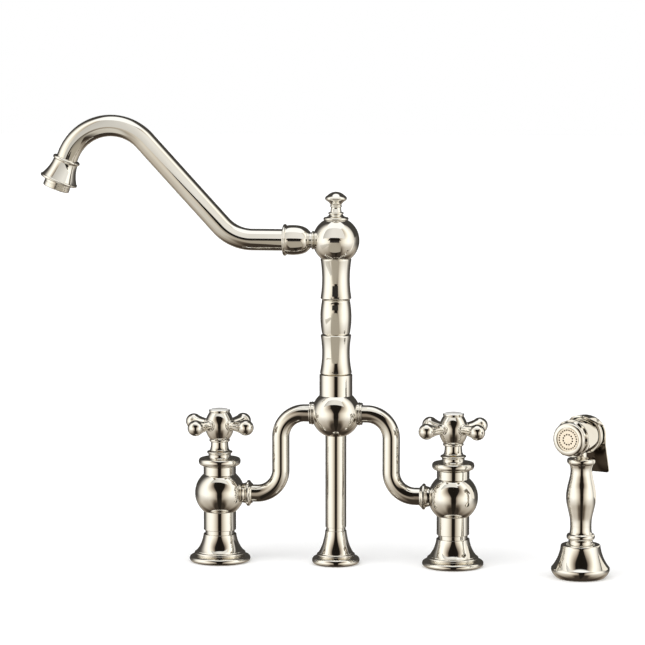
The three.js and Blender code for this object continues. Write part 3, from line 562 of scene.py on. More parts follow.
def bonnetRing():
    s = bonnetSettings
    profile = Profile(s.bore, 0).across(s.foot, 0.15)
    profile.curve(s.rim - 0.2, 0.3, s.rim, s.rimAt, 24)
    profile.curve(s.rim, s.rimHeight - 0.1, s.top, s.rimHeight, 24)
    profile.to(s.dish, s.rimHeight - 0.5, 0.8)
    profile.curve(s.neck, s.rimHeight, s.neck, s.neckAt, 16)
    profile.curve(s.neck, s.lipAt - 0.2, s.lip, s.lipAt, 12)
    profile.bead(s.lipBulge, s.height - 0.2, 16)
    profile.to(s.lip - 0.3, s.height, 0.1)
    profile.across(s.stemBore).up(s.recess).across(s.bore)
    return turned(profile, 112)


skirtSettings = Settings(
    bore=3.9, foot=8.5, flare=2, waist=7.4, height=7.7, bead=8, beadBulge=0.9, beadHeight=2.4,
)


def handleSkirt():
    s = skirtSettings
    top = s.height + s.beadHeight
    profile = Profile(s.bore, 0).across(s.foot, 0.3).up(0.7, 0.3)
    profile.curve(s.waist, s.flare, s.waist, s.height, 24)
    profile.across(s.bead, 0.15).bead(s.beadBulge, top, 20).across(s.bore)
    return turned(profile)


crossSettings = Settings(
    root=6.4, rootEnd=9.5, bossPull=11, screwHead=2.6, end=8.9, swell=16.3, height=23, armHeight=12.2,
    armStart=5.5, boss=4.7, bossAt=12.1, ring=5.1, ringAt=13.6, neck=3.75, neckAt=15.4, coneFrom=4.4,
    conePull=22, cone=5.9, ball=6.85, ballAt=30.5, bore=3.9, socketTop=17.9, screwHole=2.2, screwSeat=3,
    well=6.5,
)


def crossArm():
    s = crossSettings
    profile = Profile(0, s.armStart).across(s.root).up(s.rootEnd)
    profile.curve(s.boss, s.bossPull, s.boss, s.bossAt, 12)
    profile.up(s.bossAt + 0.3).bead(s.ring - s.boss, s.ringAt, 12)
    profile.curve(s.neck, s.ringAt + 0.1, s.neck, s.neckAt, 12)
    profile.curve(
        s.coneFrom, s.conePull, s.cone, s.ballAt - ballHeight(s.ball, s.cone), 24
    )
    profile.ball(s.ball, s.ballAt, 0, 48)
    return placed(turned(profile, 72), alongX)


def handleCross(wellBottom):
    s = crossSettings
    barrel = Profile(0, 0).across(s.end, 0.4)
    barrel.curve(s.swell, s.height / 2, s.end, s.height - 0.3, 48)
    barrel.up(s.height, 0.2).across(s.well)
    barrel.up(wellBottom).across(s.screwHole)
    barrel.up(wellBottom - s.screwSeat).across(0)
    arms = []
    for quarter in range(4):
        lift = Matrix.Translation((0, 0, s.armHeight * mm))
        arms.append(placed(crossArm(), lift, Matrix.Rotation(quarter * pi / 2, 4, "Z")))
    socket = Profile(0, -1).across(s.bore).up(s.socketTop).across(0)
    joined = combined("UNION", turned(barrel, 128), *arms)
    return combined("DIFFERENCE", joined, turned(socket, 48))


bezelSettings = Settings(
    bore=4.5, spigot=6.1, spigotDepth=3.5, radius=9.1, height=1.7, floor=0.9, lip=0.5,
)
buttonSettings = Settings(radius=8.3, shoulder=1.2, rise=1.3)


def buttonBezel():
    s = bezelSettings
    inside = s.radius - s.lip - 0.05
    profile = Profile(s.bore, 0).across(s.spigot, 0.2).up(s.spigotDepth)
    profile.across(s.radius, 0.5)
    profile.up(s.spigotDepth + s.height, 0.4)
    profile.across(inside, 0.2).up(s.spigotDepth + s.floor)
    profile.across(s.bore)
    return turned(profile)


def indexButton():
    s = buttonSettings
    seatDepth = bezelSettings.height - bezelSettings.floor - seat
    top = seatDepth + s.rise
    profile = Profile(0, 0).across(s.radius, 0.2).up(seatDepth, 0.2)
    profile.curve(s.radius - s.shoulder, top, 0, top, 36)
    return turned(profile, 96)


for side in ("hot", "cold"):
    valveFoot = footOf("deck_flange_" + side)
    ballCentre = Vector((valveFoot.x, valveFoot.y, centreOf("union_collar_" + side).z))
    towardsHub = Matrix.Rotation(0 if side == "hot" else pi, 4, "Z")
    piece("deck_flange_" + side, bellFlange(flangeSettings))
    piece("valve_body_" + side, valveBody(), ballCentre)
    piece("union_collar_" + side, unionCollar(), ballCentre, towardsHub @ alongX)
    piece("bonnet_ring_" + side, bonnetRing())

    # The cross is turned as its solid is: its far arm tip shows by how much.
    crossFoot = footOf("handle_cross_" + side)
    crossNode = frame["nodes"]["handle_cross_" + side]
    tip = max((v.co.xy - crossFoot.xy for v in crossNode.data.vertices), key=lambda v: v.length)
    facing = Matrix.Rotation(-Vector((1, 0)).angle_signed(tip), 4, "Z")
    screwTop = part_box("handle_screw_" + side)[1].z / mm - crossFoot.z / mm
    wellBottom = screwTop - crossSettings.screwHead - seat
    piece("handle_skirt_" + side, handleSkirt())
    piece("handle_cross_" + side, handleCross(wellBottom), crossFoot, facing)
    piece("button_bezel_" + side, buttonBezel())
    piece("index_button_" + side, indexButton(), material=porcelain)
print("valves and handles made")


# Bridge: hub, post and the two bent arms.

hubSettings = Settings(
    boreFoot=10, beadBulge=0.35, beadFoot=3.1, beadTop=1.9, grooveFoot=1.7, grooveTop=1.4, ball=21.2,
    collar=14.17, top=34, bore=10.4, socket=9.45, socketDepth=15.3, drain=6, shelf=-9, passage=9,
    boss=9.7, bossStart=15, bossEnd=22.9, groove=8.9, armBore=7.9,
)


def hubBody():
    s = hubSettings
    profile = Profile(s.socket, -ballHeight(s.ball, s.socket))
    profile.ball(s.ball, 0, s.collar, 80)
    profile.up(s.top, 0.3).across(s.bore, 0.3)
    profile.up(s.boreFoot).across(s.passage).up(s.shelf)
    profile.across(s.drain).up(-s.socketDepth).across(s.socket)
    body = turned(profile, 128)
    for turn in (0, pi):
        boss = Profile(0, s.bossStart).across(s.boss).up(s.bossEnd - s.beadFoot)
        boss.bead(s.beadBulge, s.bossEnd - s.beadTop, 12).to(s.groove, s.bossEnd - s.grooveFoot, 0.15)
        boss.up(s.bossEnd - s.grooveTop, 0.15).to(s.boss, s.bossEnd - s.grooveTop + 0.1, 0.3)
        boss.up(s.bossEnd, 0.45).across(0)
        way = Profile(0, 0).across(s.armBore).up(s.bossEnd + 1).across(0)
        about = Matrix.Rotation(turn, 4, "Z")
        body = combined("UNION", body, placed(turned(boss), alongX, about))
        body = combined("DIFFERENCE", body, placed(turned(way, 72), alongX, about))
    return body


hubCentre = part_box("hub_body")[1] - Vector((0, 0, hubSettings.top * mm))
hubCentre = Vector((deck.x, deck.y, hubCentre.z))
piece("hub_body", hubBody(), hubCentre)

armSettings = Settings(radius=7.5, wall=1.2, bend=21, offset=48, insert=11.5, valveInsert=5.75)
for side in ("hot", "cold"):
    s = armSettings
    outward = Matrix.Rotation(pi if side == "hot" else 0, 4, "Z")
    valveAt = abs(footOf("deck_flange_" + side).x - deck.x) / mm
    drop = (hubCentre.z - centreOf("union_collar_" + side).z) / mm
    start = hubSettings.bossEnd - s.insert
    end = valveAt - collarSettings.start + seat + s.valveInsert
    legs = [
        (s.offset - s.bend - start, -90, s.bend),
        (drop - 2 * s.bend, 90, s.bend),
        (end - s.offset - s.bend, 0, 0),
    ]
    arm = tube(bentLine(start, 0, 0, legs), s.radius, s.wall)
    piece("bridge_arm_" + side, arm, hubCentre, outward)

postSettings = Settings(radius=9.05, shank=8.4, shankTop=32, bore=6, clearance=1)


def supportPost(top):
    s = postSettings
    bottom = s.clearance
    profile = Profile(s.bore, 0).across(s.shank, 0.3).up(s.shankTop - bottom)
    profile.across(s.radius, 0.4).up(top, 0.3).across(s.bore)
    return turned(profile)


postLow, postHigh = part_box("support_post")
piece("support_post", supportPost((postHigh.z - postLow.z) / mm))
piece("post_flange", bellFlange(postFlangeSettings))
print("bridge made")


# Riser: three sleeves under the upper ball, all turning with the spout.

riserSettings = Settings(bore=7.5, spigot=9.6, spigotHeight=6, lip=1.4, chamfer=0.9)
sleeveSettings = {
    "riser_lower": Settings(bottom=13.7, top=13.1, waist=11.9, height=34, socket=10.3, depth=11.8),
    "riser_middle": Settings(bottom=12.1, top=12.1, waist=13.35, height=30, socket=10, depth=6.3),
    "riser_upper": Settings(bottom=13.2, top=13.2, waist=11.9, height=35.2, socket=10, depth=6.3),
}


def riserSleeve(s):
    r = riserSettings
    pull = 2 * s.waist - (s.bottom + s.top) / 2
    top = s.height
    profile = Profile(s.socket, 0).across(s.bottom - r.chamfer, 0.3)
    profile.to(s.bottom, r.chamfer, 0.25).up(r.lip, 0.1)
    profile.curve(pull, top / 2, s.top, top - r.lip, 48)
    profile.up(top - 0.5, 0.15).to(s.top - 0.5, top, 0.3)
    profile.across(r.spigot).up(top + r.spigotHeight, 0.4)
    profile.across(r.bore).up(s.depth).across(s.socket)
    return turned(profile, 112)


for node, settings in sleeveSettings.items():
    piece(node, riserSleeve(settings))

upperSettings = Settings(
    radius=20.1, neck=13.3, cap=10.8, hole=3.3, holeDepth=6, chamber=9, socket=10, socketDepth=6.3,
)
finialSettings = Settings(
    conePull=7.2, crown=4.2, neckBead=0.55, spigot=3, spigotDepth=4.7, base=10.8, baseBulge=1.1,
    baseHeight=2.6, coneHeight=2.6, bead=5.2, beadBulge=1.5, beadHeight=1.8, hollow=4, neck=4.6,
    neckAt=11.5, knob=9.4, knobFlare=13.5, knobAt=18.8, top=24.5,
)


def upperBall():
    s = upperSettings
    bottom = -ballHeight(s.radius, s.neck)
    top = ballHeight(s.radius, s.cap)
    profile = Profile(0, s.chamber).across(s.chamber - 2)
    profile.to(s.chamber, s.chamber - 2).up(bottom + s.socketDepth)
    profile.across(s.socket).up(bottom).across(s.neck)
    profile.ball(s.radius, 0, s.cap, 96).to(s.hole, top)
    profile.up(top - s.holeDepth).across(0)
    return turned(profile, 128)


def finial():
    s = finialSettings
    cone = s.baseHeight + s.coneHeight
    beadTop = cone + s.beadHeight
    profile = Profile(0, -s.spigotDepth).across(s.spigot, 0.4).up(0)
    profile.across(s.base - s.baseBulge).bead(s.baseBulge, s.baseHeight, 20)
    profile.curve(s.conePull, s.baseHeight + 0.1, s.bead + 0.5, cone - 0.1, 16).to(s.bead + 0.3, cone, 0.1)
    profile.bead(s.beadBulge - 0.3, beadTop, 18)
    profile.to(s.bead - 0.3, beadTop + 0.1).curve(s.hollow, s.neckAt, s.neck, s.neckAt, 20)
    profile.to(s.neck, s.neckAt).bead(s.neckBead, s.neckAt + 1.3, 12)
    profile.curve(s.neck + 0.2, s.knobFlare + 1.3, s.knob - 1.2, s.knobAt - 1.9, 20)
    profile.curve(s.knob, s.knobAt - 1, s.knob, s.knobAt, 12)
    profile.curve(s.knob, s.knobAt + 1.3, s.knob - 2, s.knobAt + 2.6, 16)
    profile.curve(s.crown, s.top - 0.1, 0, s.top, 24)
    return turned(profile)


ballCentre = above(footOf("spout_ball"), ballHeight(upperSettings.radius, upperSettings.neck))
spoutAxis = Vector((deck.x, deck.y, ballCentre.z))
piece("spout_ball", upperBall(), spoutAxis)
piece("finial", finial(), above(footOf("finial"), finialSettings.spigotDepth))

nippleSettings = Settings(radius=6.7, bore=5.25, start=10, end=34, ring=1.4, ringAt=19, ringWidth=1.8)
couplingSettings = Settings(
    bore=7.1, start=22.4, throat=7.3, flare=12.6, flareAt=26.5, swell=12.85, swellAt=36.5, waist=12.4,
    groove=12.1, ringBulge=1.2, ringAt=42.8, end=46, socketAt=35, socket=9.85,
)


def couplingNipple():
    s = nippleSettings
    profile = Profile(s.bore, s.start).across(s.radius, 0.3).up(s.ringAt, 0.1)
    profile.bead(s.ring, s.ringAt + s.ringWidth, 16)
    profile.up(s.end, 0.3).across(s.bore)
    return turned(profile)


def couplingBell():
    s = couplingSettings
    profile = Profile(s.bore, s.start).across(s.throat, 0.1)
    profile.to(s.throat + 0.6, s.start + 0.6, 0.2)
    profile.curve(s.flare, s.flareAt, s.swell, s.swellAt, 32)
    profile.curve(s.swell + 0.1, s.ringAt - 2.5, s.waist, s.ringAt - 0.3, 16)
    profile.to(s.groove + 0.2, s.ringAt, 0.1)
    profile.bead(s.ringBulge + 0.2, s.end - 0.5, 20).to(s.socket, s.end - 0.3, 0.2)
    profile.up(s.socketAt).across(s.bore)
    return turned(profile, 112)


towardsSpout = Matrix.Rotation(pi, 4, "Z") @ alongX
piece("coupling_nipple", couplingNipple(), spoutAxis, towardsSpout)
piece("coupling_bell", couplingBell(), spoutAxis, towardsSpout)

spoutSettings = Settings(
    radius=9.3, wall=1.2, horizontal=37, riseAngle=47.5, riseBend=37, rise=98, neckAngle=116.1,
    neckBend=40.3, drop=3.2,
)
outletSettings = Settings(
    rimBulge=0.9, length=21.2, insert=5, topBead=11, topBulge=1.1, topHeight=2.8, waist=10.9, rim=16.6,
    rimHeight=2.4, cavity=12.2, cavityDepth=9, inside=9.4, bore=9.85,
)
aeratorSettings = Settings(
    rows=5, pitch=1.62, twist=0.013, grooveFoot=3.6, grooveTop=4.5, grooveDepth=0.25, radius=11.7,
    inside=9.4, proud=6.7, screen=1.2, hole=0.62,
)

s = spoutSettings
spoutLegs = [
    (s.horizontal, -s.riseAngle, s.riseBend),
    (s.rise, s.neckAngle, s.neckBend),
    (s.drop + outletSettings.insert, 0, 0),
]
spoutStart = -couplingSettings.socketAt - seat
spoutLine = bentLine(spoutStart, 0, pi, spoutLegs)
piece("spout_tube", tube(spoutLine, s.radius, s.wall, 96), spoutAxis)


def aeratorHousing():
    s = outletSettings
    bottom = -s.length
    profile = Profile(s.cavity, bottom).across(s.rim - s.rimBulge, 0.3)
    profile.bead(s.rimBulge, bottom + s.rimHeight, 18)
    profile.curve(s.waist + 0.2, -s.length / 2, s.waist - 0.1, -s.topHeight - 0.4, 40)
    profile.to(s.topBead, -s.topHeight, 0.1).bead(s.topBulge, 0, 18)
    profile.across(s.bore, 0.1).up(-s.insert - seat).across(s.inside)
    profile.up(bottom + s.cavityDepth).across(s.cavity)
    return turned(profile, 128)


def aeratorInsert():
    s = aeratorSettings
    bottom = -outletSettings.length - s.proud
    top = outletSettings.cavityDepth - outletSettings.length - seat
    grooveFoot, grooveTop = bottom + s.grooveFoot, bottom + s.grooveTop
    profile = Profile(s.inside, bottom).across(s.radius, 0.9).up(grooveFoot, 0.1)
    profile.to(s.radius - s.grooveDepth, grooveFoot + 0.2, 0.1).up(grooveTop - 0.2, 0.1)
    profile.to(s.radius, grooveTop, 0.1).up(top, 0.2).across(s.inside)
    sleeve = turned(profile, 96)
    holes = [(0, 0, s.hole, 12)]
    for row in range(1, s.rows + 1):
        for k in range(6 * row):
            angle = 2 * pi * k / (6 * row) + s.twist * row
            reach = s.pitch * row
            holes.append((reach * cos(angle), reach * sin(angle), s.hole, 12))
    screen = perforated(s.inside + 0.6, s.screen, holes, 0.06)
    lift = Matrix.Translation((0, 0, (bottom + s.screen) * mm))
    return combined("UNION", sleeve, placed(screen, lift))


insertStations = bentLine(spoutStart, 0, pi, [*spoutLegs[:2], (s.drop, 0, 0)])
endX, endZ, endHeading = insertStations[-1]
outletAt = spoutAxis + Vector((endX, 0, endZ)) * mm
outletTurn = Matrix.Rotation(3 * pi / 2 - endHeading, 4, "Y")
piece("aerator_housing", aeratorHousing(), outletAt, outletTurn)
piece("aerator_insert", aeratorInsert(), outletAt, outletTurn)
print("riser and spout made")


# Side spray: its holder on the deck, and the spray that lifts out of it.

holderSettings = Settings(
    mouth=7.5, base=20.4, footBulge=25.6, footBulgeAt=4.5, foot=24.6, footAt=8.3, waist=18.6,
    waistAt=15.5, throat=16.9, throatAt=25.5, rim=16.4, height=28, bore=12.4, floor=2.7,
)
linerSettings = Settings(mouth=7.5, bottom=3, radius=12, top=27.7, wall=1.1, ledge=8)
handleSettings = Settings(
    grip=10.4, bottom=8.3, hose=5, boreTop=96, bead=10.6, beadBulge=1.4,
    beadBottom=32.5, beadTop=37, foot=9, footPull=39, footAt=44, shoulder=11, shoulderBulge=1.1,
    shoulderBottom=97, shoulderTop=101.5, neckFoot=8, neckFootAt=101.8, neckPull=102.5, neck=4.7,
    neckAt=105, top=113,
    belly=[
        (9.3, 50), (10.9, 57.5), (12.3, 64), (12.65, 70),
        (11.8, 76.5), (10.3, 83), (9.2, 89), (9.3, 93.5),
    ],
)


def sprayHolder():
    s = holderSettings
    profile = Profile(s.mouth, 0).groove(s.foot).across(s.base, 0.4)
    profile.curve(s.footBulge, s.footBulgeAt, s.foot, s.footAt, 28)
    profile.curve(s.waist, s.waistAt, s.throat, s.throatAt, 40)
    profile.curve(s.throat, s.height - 0.3, s.rim - 0.4, s.height, 12)
    profile.across(s.bore, 0.4).up(s.floor).across(s.mouth)
    return turned(profile, 128)


def holderLiner():
    s = linerSettings
    inside = s.radius - s.wall
    profile = Profile(s.mouth, s.bottom).across(s.radius, 0.3).up(s.top, 0.3)
    profile.across(inside, 0.3).up(s.ledge).across(s.mouth, 0.3)
    return turned(profile)


def sprayHandle():
    s = handleSettings
    profile = Profile(0, s.boreTop).across(s.hose).up(s.bottom, 0.3)
    profile.across(s.grip, 0.8).up(s.beadBottom - 1.5, 0.3)
    profile.to(s.bead - 0.6, s.beadBottom - 0.6, 0.3).to(s.bead, s.beadBottom, 0.1)
    profile.bead(s.beadBulge, s.beadTop, 24).to(s.bead - 0.7, s.beadTop + 0.2, 0.1)
    profile.curve(s.foot - 0.1, s.footPull, s.foot, s.footAt, 20)
    profile.sway([*s.belly, (s.shoulder - 0.7, s.shoulderBottom - 0.6)])
    profile.to(s.shoulder - 0.2, s.shoulderBottom, 0.1)
    profile.bead(s.shoulderBulge + 0.2, s.shoulderTop, 24).to(s.neckFoot, s.neckFootAt, 0.2)
    profile.curve(s.neck, s.neckPull, s.neck, s.neckAt, 20)
    profile.up(s.top, 0.3).across(0)
    return turned(profile, 112)


sprayFoot = footOf("spray_holder")
headAxis = Vector((sprayFoot.x, sprayFoot.y, centreOf("spray_nozzle").z))
facing = centreOf("spray_nozzle") - headAxis
sprayTurn = Matrix.Rotation(-Vector((0, -1)).angle_signed(Vector((facing.x, facing.y))), 4, "Z")
lying = sprayTurn @ Matrix.Rotation(-pi / 2, 4, "X")  # heights then count back along the head
piece("spray_holder", sprayHolder())
piece("holder_liner", holderLiner(), sprayFoot, material=acetal)
piece("spray_handle", sprayHandle(), sprayFoot, sprayTurn)

headSettings = Settings(
    front=-18.6, flange=15.8, flangeAt=-16, barrel=14.1, barrelAt=-15.5, barrelSwell=15.1, barrelEnd=5,
    rear=15.3, rearEdge=0.5, back=10, cavity=9.9, cavityBack=-9.2, plungerBore=3.2, plungerEnd=-7.5,
)
nozzleSettings = Settings(
    front=-26.4, radius=14.25, edge=2.6, lip=10.4, throat=8.2, back=-22.4, seatAt=-23.9,
)
hexSettings = Settings(chamfer=1.3, corner=15.9, flat=14.3, front=-22.1, back=-18.9, bore=9.9)
faceSettings = Settings(
    radius=9.6, thickness=1.7, sunk=0.55, innerAt=4.3, outerAt=8, inner=12, outer=24, hole=0.72,
)


def sprayHead():
    s = headSettings
    profile = Profile(s.cavity, s.front).across(s.flange, 0.5)
    profile.up(s.flangeAt, 0.5).to(s.barrel + 0.2, s.barrelAt - 0.3, 0.3)
    middle = (s.flangeAt + s.barrelEnd) / 2
    profile.curve(s.barrelSwell, middle, s.barrel, s.barrelEnd - 0.6, 40)
    profile.to(s.barrel - 0.3, s.barrelEnd - 0.2, 0.1).to(s.rear - 0.3, s.barrelEnd, 0.3)
    profile.bead(s.rearEdge + 0.3, s.back - 0.8, 20).to(s.rear - 1.5, s.back, 0.6)
    profile.across(s.plungerBore).up(s.plungerEnd).across(0)
    profile.up(s.cavityBack).across(s.cavity)
    return turned(profile, 112)


def sprayNozzle():
    s = nozzleSettings
    profile = Profile(s.lip, s.front, 0.2).across(s.lip + 0.3)
    profile.curve(s.radius - 0.1, s.front, s.radius, s.front + s.edge, 32)
    profile.up(s.back - 0.4, 0.1).to(s.radius - 0.6, s.back, 0.3)
    profile.across(s.throat).up(s.seatAt).across(s.lip)
    return turned(profile, 112)


def sprayHexRing():
    s = hexSettings
    profile = Profile(s.bore, s.front).across(s.flat - 0.4, 0.3)
    profile.to(s.corner, s.front + s.chamfer, 0.2).up(s.back - s.chamfer, 0.2)
    profile.to(s.flat - 0.4, s.back, 0.3).across(s.bore)
    return turned(profile, 120, (6, s.flat))


def sprayFace():
    s = faceSettings
    holes = []
    for count, at in ((s.inner, s.innerAt), (s.outer, s.outerAt)):
        for k in range(count):
            angle = 2 * pi * (k + 0.5) / count
            holes.append((at * cos(angle), at * sin(angle), s.hole, 16))
    return perforated(s.radius, s.thickness, holes, 0.08)


leverSettings = Settings(
    edge=0.35, rearInside=8, bendLength=1.5, inner=16.3, outer=17.7, hoodFront=-4, hoodAngle=60,
    hoodSweep=14, plateFront=12.8, plateBack=14.2, bendAt=-7.5, bendWidth=32, foot=-33.5,
    footBack=11.95, footWidth=28.4, corner=2.5,
)


def leverHood():
    s = leverSettings
    section = [
        (s.inner, s.hoodFront),
        (s.outer, s.hoodFront),
        (s.outer - 0.1, 2),
        (s.outer - 0.4, 7),
        (s.outer - 0.8, 10),
        (s.outer - 1.3, s.plateBack - 2.2),
        (s.outer - 1.9, s.plateBack - 1.1),
        (s.outer - 2.7, s.plateBack - 0.4),
        (s.outer - 3.8, s.plateBack - 0.05),
        (s.rearInside, s.plateBack - 0.05),
        (s.rearInside, s.plateFront + 0.05),
        (s.inner - 2.6, s.plateFront + 0.05),
        (s.inner - 1.6, s.plateFront - 0.9),
        (s.inner - 0.9, 10),
        (s.inner - 0.4, 6),
    ]
    steps = 48
    points, faces = [], []
    for k in range(steps + 1):
        side = 2 * k / steps - 1
        angle = radians(s.hoodAngle) * side
        front = s.hoodFront + s.hoodSweep * abs(side) ** 3
        points += [(r * sin(angle), max(y, front), r * cos(angle)) for r, y in section]
    n = len(section)
    for k in range(steps):
        for i in range(n):
            j = (i + 1) % n
            faces.append((k * n + i, k * n + j, (k + 1) * n + j, (k + 1) * n + i))
    faces.append(tuple(reversed(range(n))))
    faces.append(tuple(range(steps * n, (steps + 1) * n)))
    return closed(meshOf(points, faces))


# The plate's outline, down one side, with how far back each height stands below the bend.
def leverPlate():
    s = leverSettings
    half = []
    top = s.outer - 1.9
    for k in range(25):
        angle = pi / 2 * k / 24
        half.append((top * sin(angle), top * cos(angle)))
    bend, foot = s.bendWidth / 2, s.footWidth / 2
    steps = 24
    for k in range(1, steps + 1):
        t = k / steps
        half.append((top + t * (bend - top), t * s.bendAt))
    for k in range(1, steps + 1):
        t = k / steps
        half.append((bend + t * (foot - bend), s.bendAt + t * (s.foot + s.corner - s.bendAt)))
    for k in range(1, 7):
        angle = pi / 2 * k / 6
        half.append((foot - s.corner * (1 - cos(angle)), s.foot + s.corner * (1 - sin(angle))))

    def back(z):
        below = max(0, s.bendAt - z)
        soft = s.bendLength
        slope = s.footBack / (s.bendAt - s.foot)
        return slope * (below - soft / 2) if below > soft else slope * below**2 / (2 * soft)

    outline = [(x, z) for x, z in half] + [(-x, z) for x, z in reversed(half[1:])]
    points = []
    for depth in (s.plateFront, s.plateBack):
        points += [(x, depth + back(z), z) for x, z in outline]
    n = len(outline)
    rows = len(half)
    faces = []
    for i in range(n):
        j = (i + 1) % n
        faces.append((j, i, n + i, n + j))
    for i in range(rows - 1):
        left, leftNext = (n - i) % n, n - i - 1
        face = list(dict.fromkeys([i, i + 1, leftNext, left]))
        faces.append(face)
        faces.append([n + v for v in reversed(face)])
    return closed(meshOf(points, faces))


piece("spray_head", sprayHead(), headAxis, lying)
piece("spray_hex_ring", sprayHexRing(), headAxis, lying @ Matrix.Rotation(pi / 6, 4, "Z"))
piece("spray_nozzle", sprayNozzle(), headAxis, lying)
faceLift = Matrix.Translation((0, 0, (nozzleSettings.front + faceSettings.sunk) * mm))
piece("spray_face", sprayFace(), headAxis, lying @ faceLift, satinNickel)

# Painted shade: the plate is darker on its side towards the handle, below the bend, where a dark nickel
# stands in for the shade and dark reflections there.
lever = closed(combined("UNION", leverPlate(), leverHood(), bevel=leverSettings.edge), 0.003)
bend = leverSettings.bendAt * mm
paintedShadeFaces = [face.index for face in lever.polygons if face.normal.y < -0.6 and face.center.z < bend]
piece("spray_lever", lever, headAxis, sprayTurn)
lever.materials.append(paintedShadeNickel)
for index in paintedShadeFaces:
    lever.polygons[index].material_index = 1
print("side spray made")


# What stays from the frame is inside the faucet, and gets its material by its name.

keptMaterials = {
    "deck_gasket": rubber, "post_gasket": rubber, "holder_gasket": rubber, "swivel_seal": rubber,
    "cartridge_body": brass, "stem": brass, "diverter_sleeve": brass, "swivel_spigot": brass,
    "spray_plunger": brass,
    "fixed_disc": alumina, "moving_disc": alumina, "diverter_spool": acetal,
    "handle_screw": steel, "lever_pin": steel, "plunger_spring": steel,
}
for name, solid in frame["nodes"].items():
    if solid.hide_render:
        continue
    kind = next(k for k in keptMaterials if name.startswith(k))
    solid.data.materials.clear()
    solid.data.materials.append(keptMaterials[kind])
print("kept nodes finished")


# Camera, from the foot of the post, and the studio

cameraSettings = Settings(right=280.6, front=2376.8, height=468.6, azimuth=7.01, pitch=6.17, lens=156.3)
c = cameraSettings
eye = bpy.data.cameras.new("camera")
eye.lens = c.lens
eye.sensor_width = 36
eye.clip_end = 50
camera = bpy.data.objects.new("camera", eye)
bpy.context.scene.collection.objects.link(camera)
camera.location = deck + Vector((c.right, -c.front, c.height)) * mm
camera.rotation_euler = (radians(90 - c.pitch), 0, radians(c.azimuth))
bpy.context.scene.camera = camera

reach = 9000
corners = [(-reach, -reach, 0), (reach, -reach, 0), (reach, reach, 0), (-reach, reach, 0)]
floor = bpy.data.objects.new("floor", meshOf(corners, [(0, 1, 2, 3)]))
floor.location.z = -0.0003
floor.visible_glossy = False
bpy.context.scene.collection.objects.link(floor)
paint = bpy.data.materials.new("whiteFloor")
paint.use_nodes = True
coat = paint.node_tree.nodes["Principled BSDF"]
coat.inputs["Base Color"].default_value = (0.93, 0.93, 0.93, 1)
coat.inputs["Roughness"].default_value = 0.9
coat.inputs["Specular IOR Level"].default_value = 0
coat.inputs["Emission Color"].default_value = (1, 1, 1, 1)
glow = shader(paint.node_tree, "Math", {1: 0.14}, operation="MULTIPLY")
seen = shader(paint.node_tree, "LightPath", {})
paint.node_tree.links.new(seen.outputs["Is Camera Ray"], glow.inputs[0])
paint.node_tree.links.new(glow.outputs[0], coat.inputs["Emission Strength"])
floor.data.materials.append(paint)

lampSettings = {
    "keyLamp": Settings(towards=(0.5, 0.55, -0.67), spread=55, strength=1.3),
    "fillLamp": Settings(towards=(-0.55, 0.35, -0.76), spread=70, strength=0.9),
}
for name, s in lampSettings.items():
    light = bpy.data.lights.new(name, "SUN")
    light.angle = radians(s.spread)
    light.energy = s.strength
    lamp = bpy.data.objects.new(name, light)
    lamp.rotation_euler = Vector(s.towards).to_track_quat("-Z", "Y").to_euler()
    lamp.location = (0, 0, 2)
    lamp.visible_glossy = False
    bpy.context.scene.collection.objects.link(lamp)

# Cards that only the metal sees. The near and far edges are how far in front of the post, and how high.
# The bright card hangs in front of the spout and the side card stands beside the spray. The others show
# from above only, to what stands higher than the valves, and fade towards their sides.
cardSettings = {
    "brightCard": Settings(
        left=-340, right=240, near=(193, 336), far=(193, 720),
        stops=[(0.1, (0.60, 0.585, 0.545)), (0.5, (0.86, 0.84, 0.79))],
    ),
    "sideCard": Settings(
        left=245, right=440, near=(-60, 40), far=(-60, 280),
        stops=[(0, (0.95, 0.90, 0.80))],
    ),
    "darkCard": Settings(
        left=-215, right=205, near=(312, 298), far=(548, 458), soft=0.05,
        stops=[(0, (0.012, 0.010, 0.008))],
    ),
    "blockCard": Settings(
        left=-126, right=126, near=(300, 245), far=(726, 368), spread=2.44, soft=0.06,
        stops=[(0, (0.03, 0.027, 0.024))],
    ),
    "taupeCard": Settings(
        left=-62, right=62, near=(89, 156), far=(650, 228), spread=5.8, soft=0.45,
        stops=[(0, (0.41, 0.37, 0.30))],
    ),
    "spoutCard": Settings(
        left=-350, right=-145, near=(50, 172), far=(420, 172), soft=0.3,
        stops=[(0.4, (0.66, 0.63, 0.56)), (0.9, (0.5, 0.46, 0.39))],
    ),
}
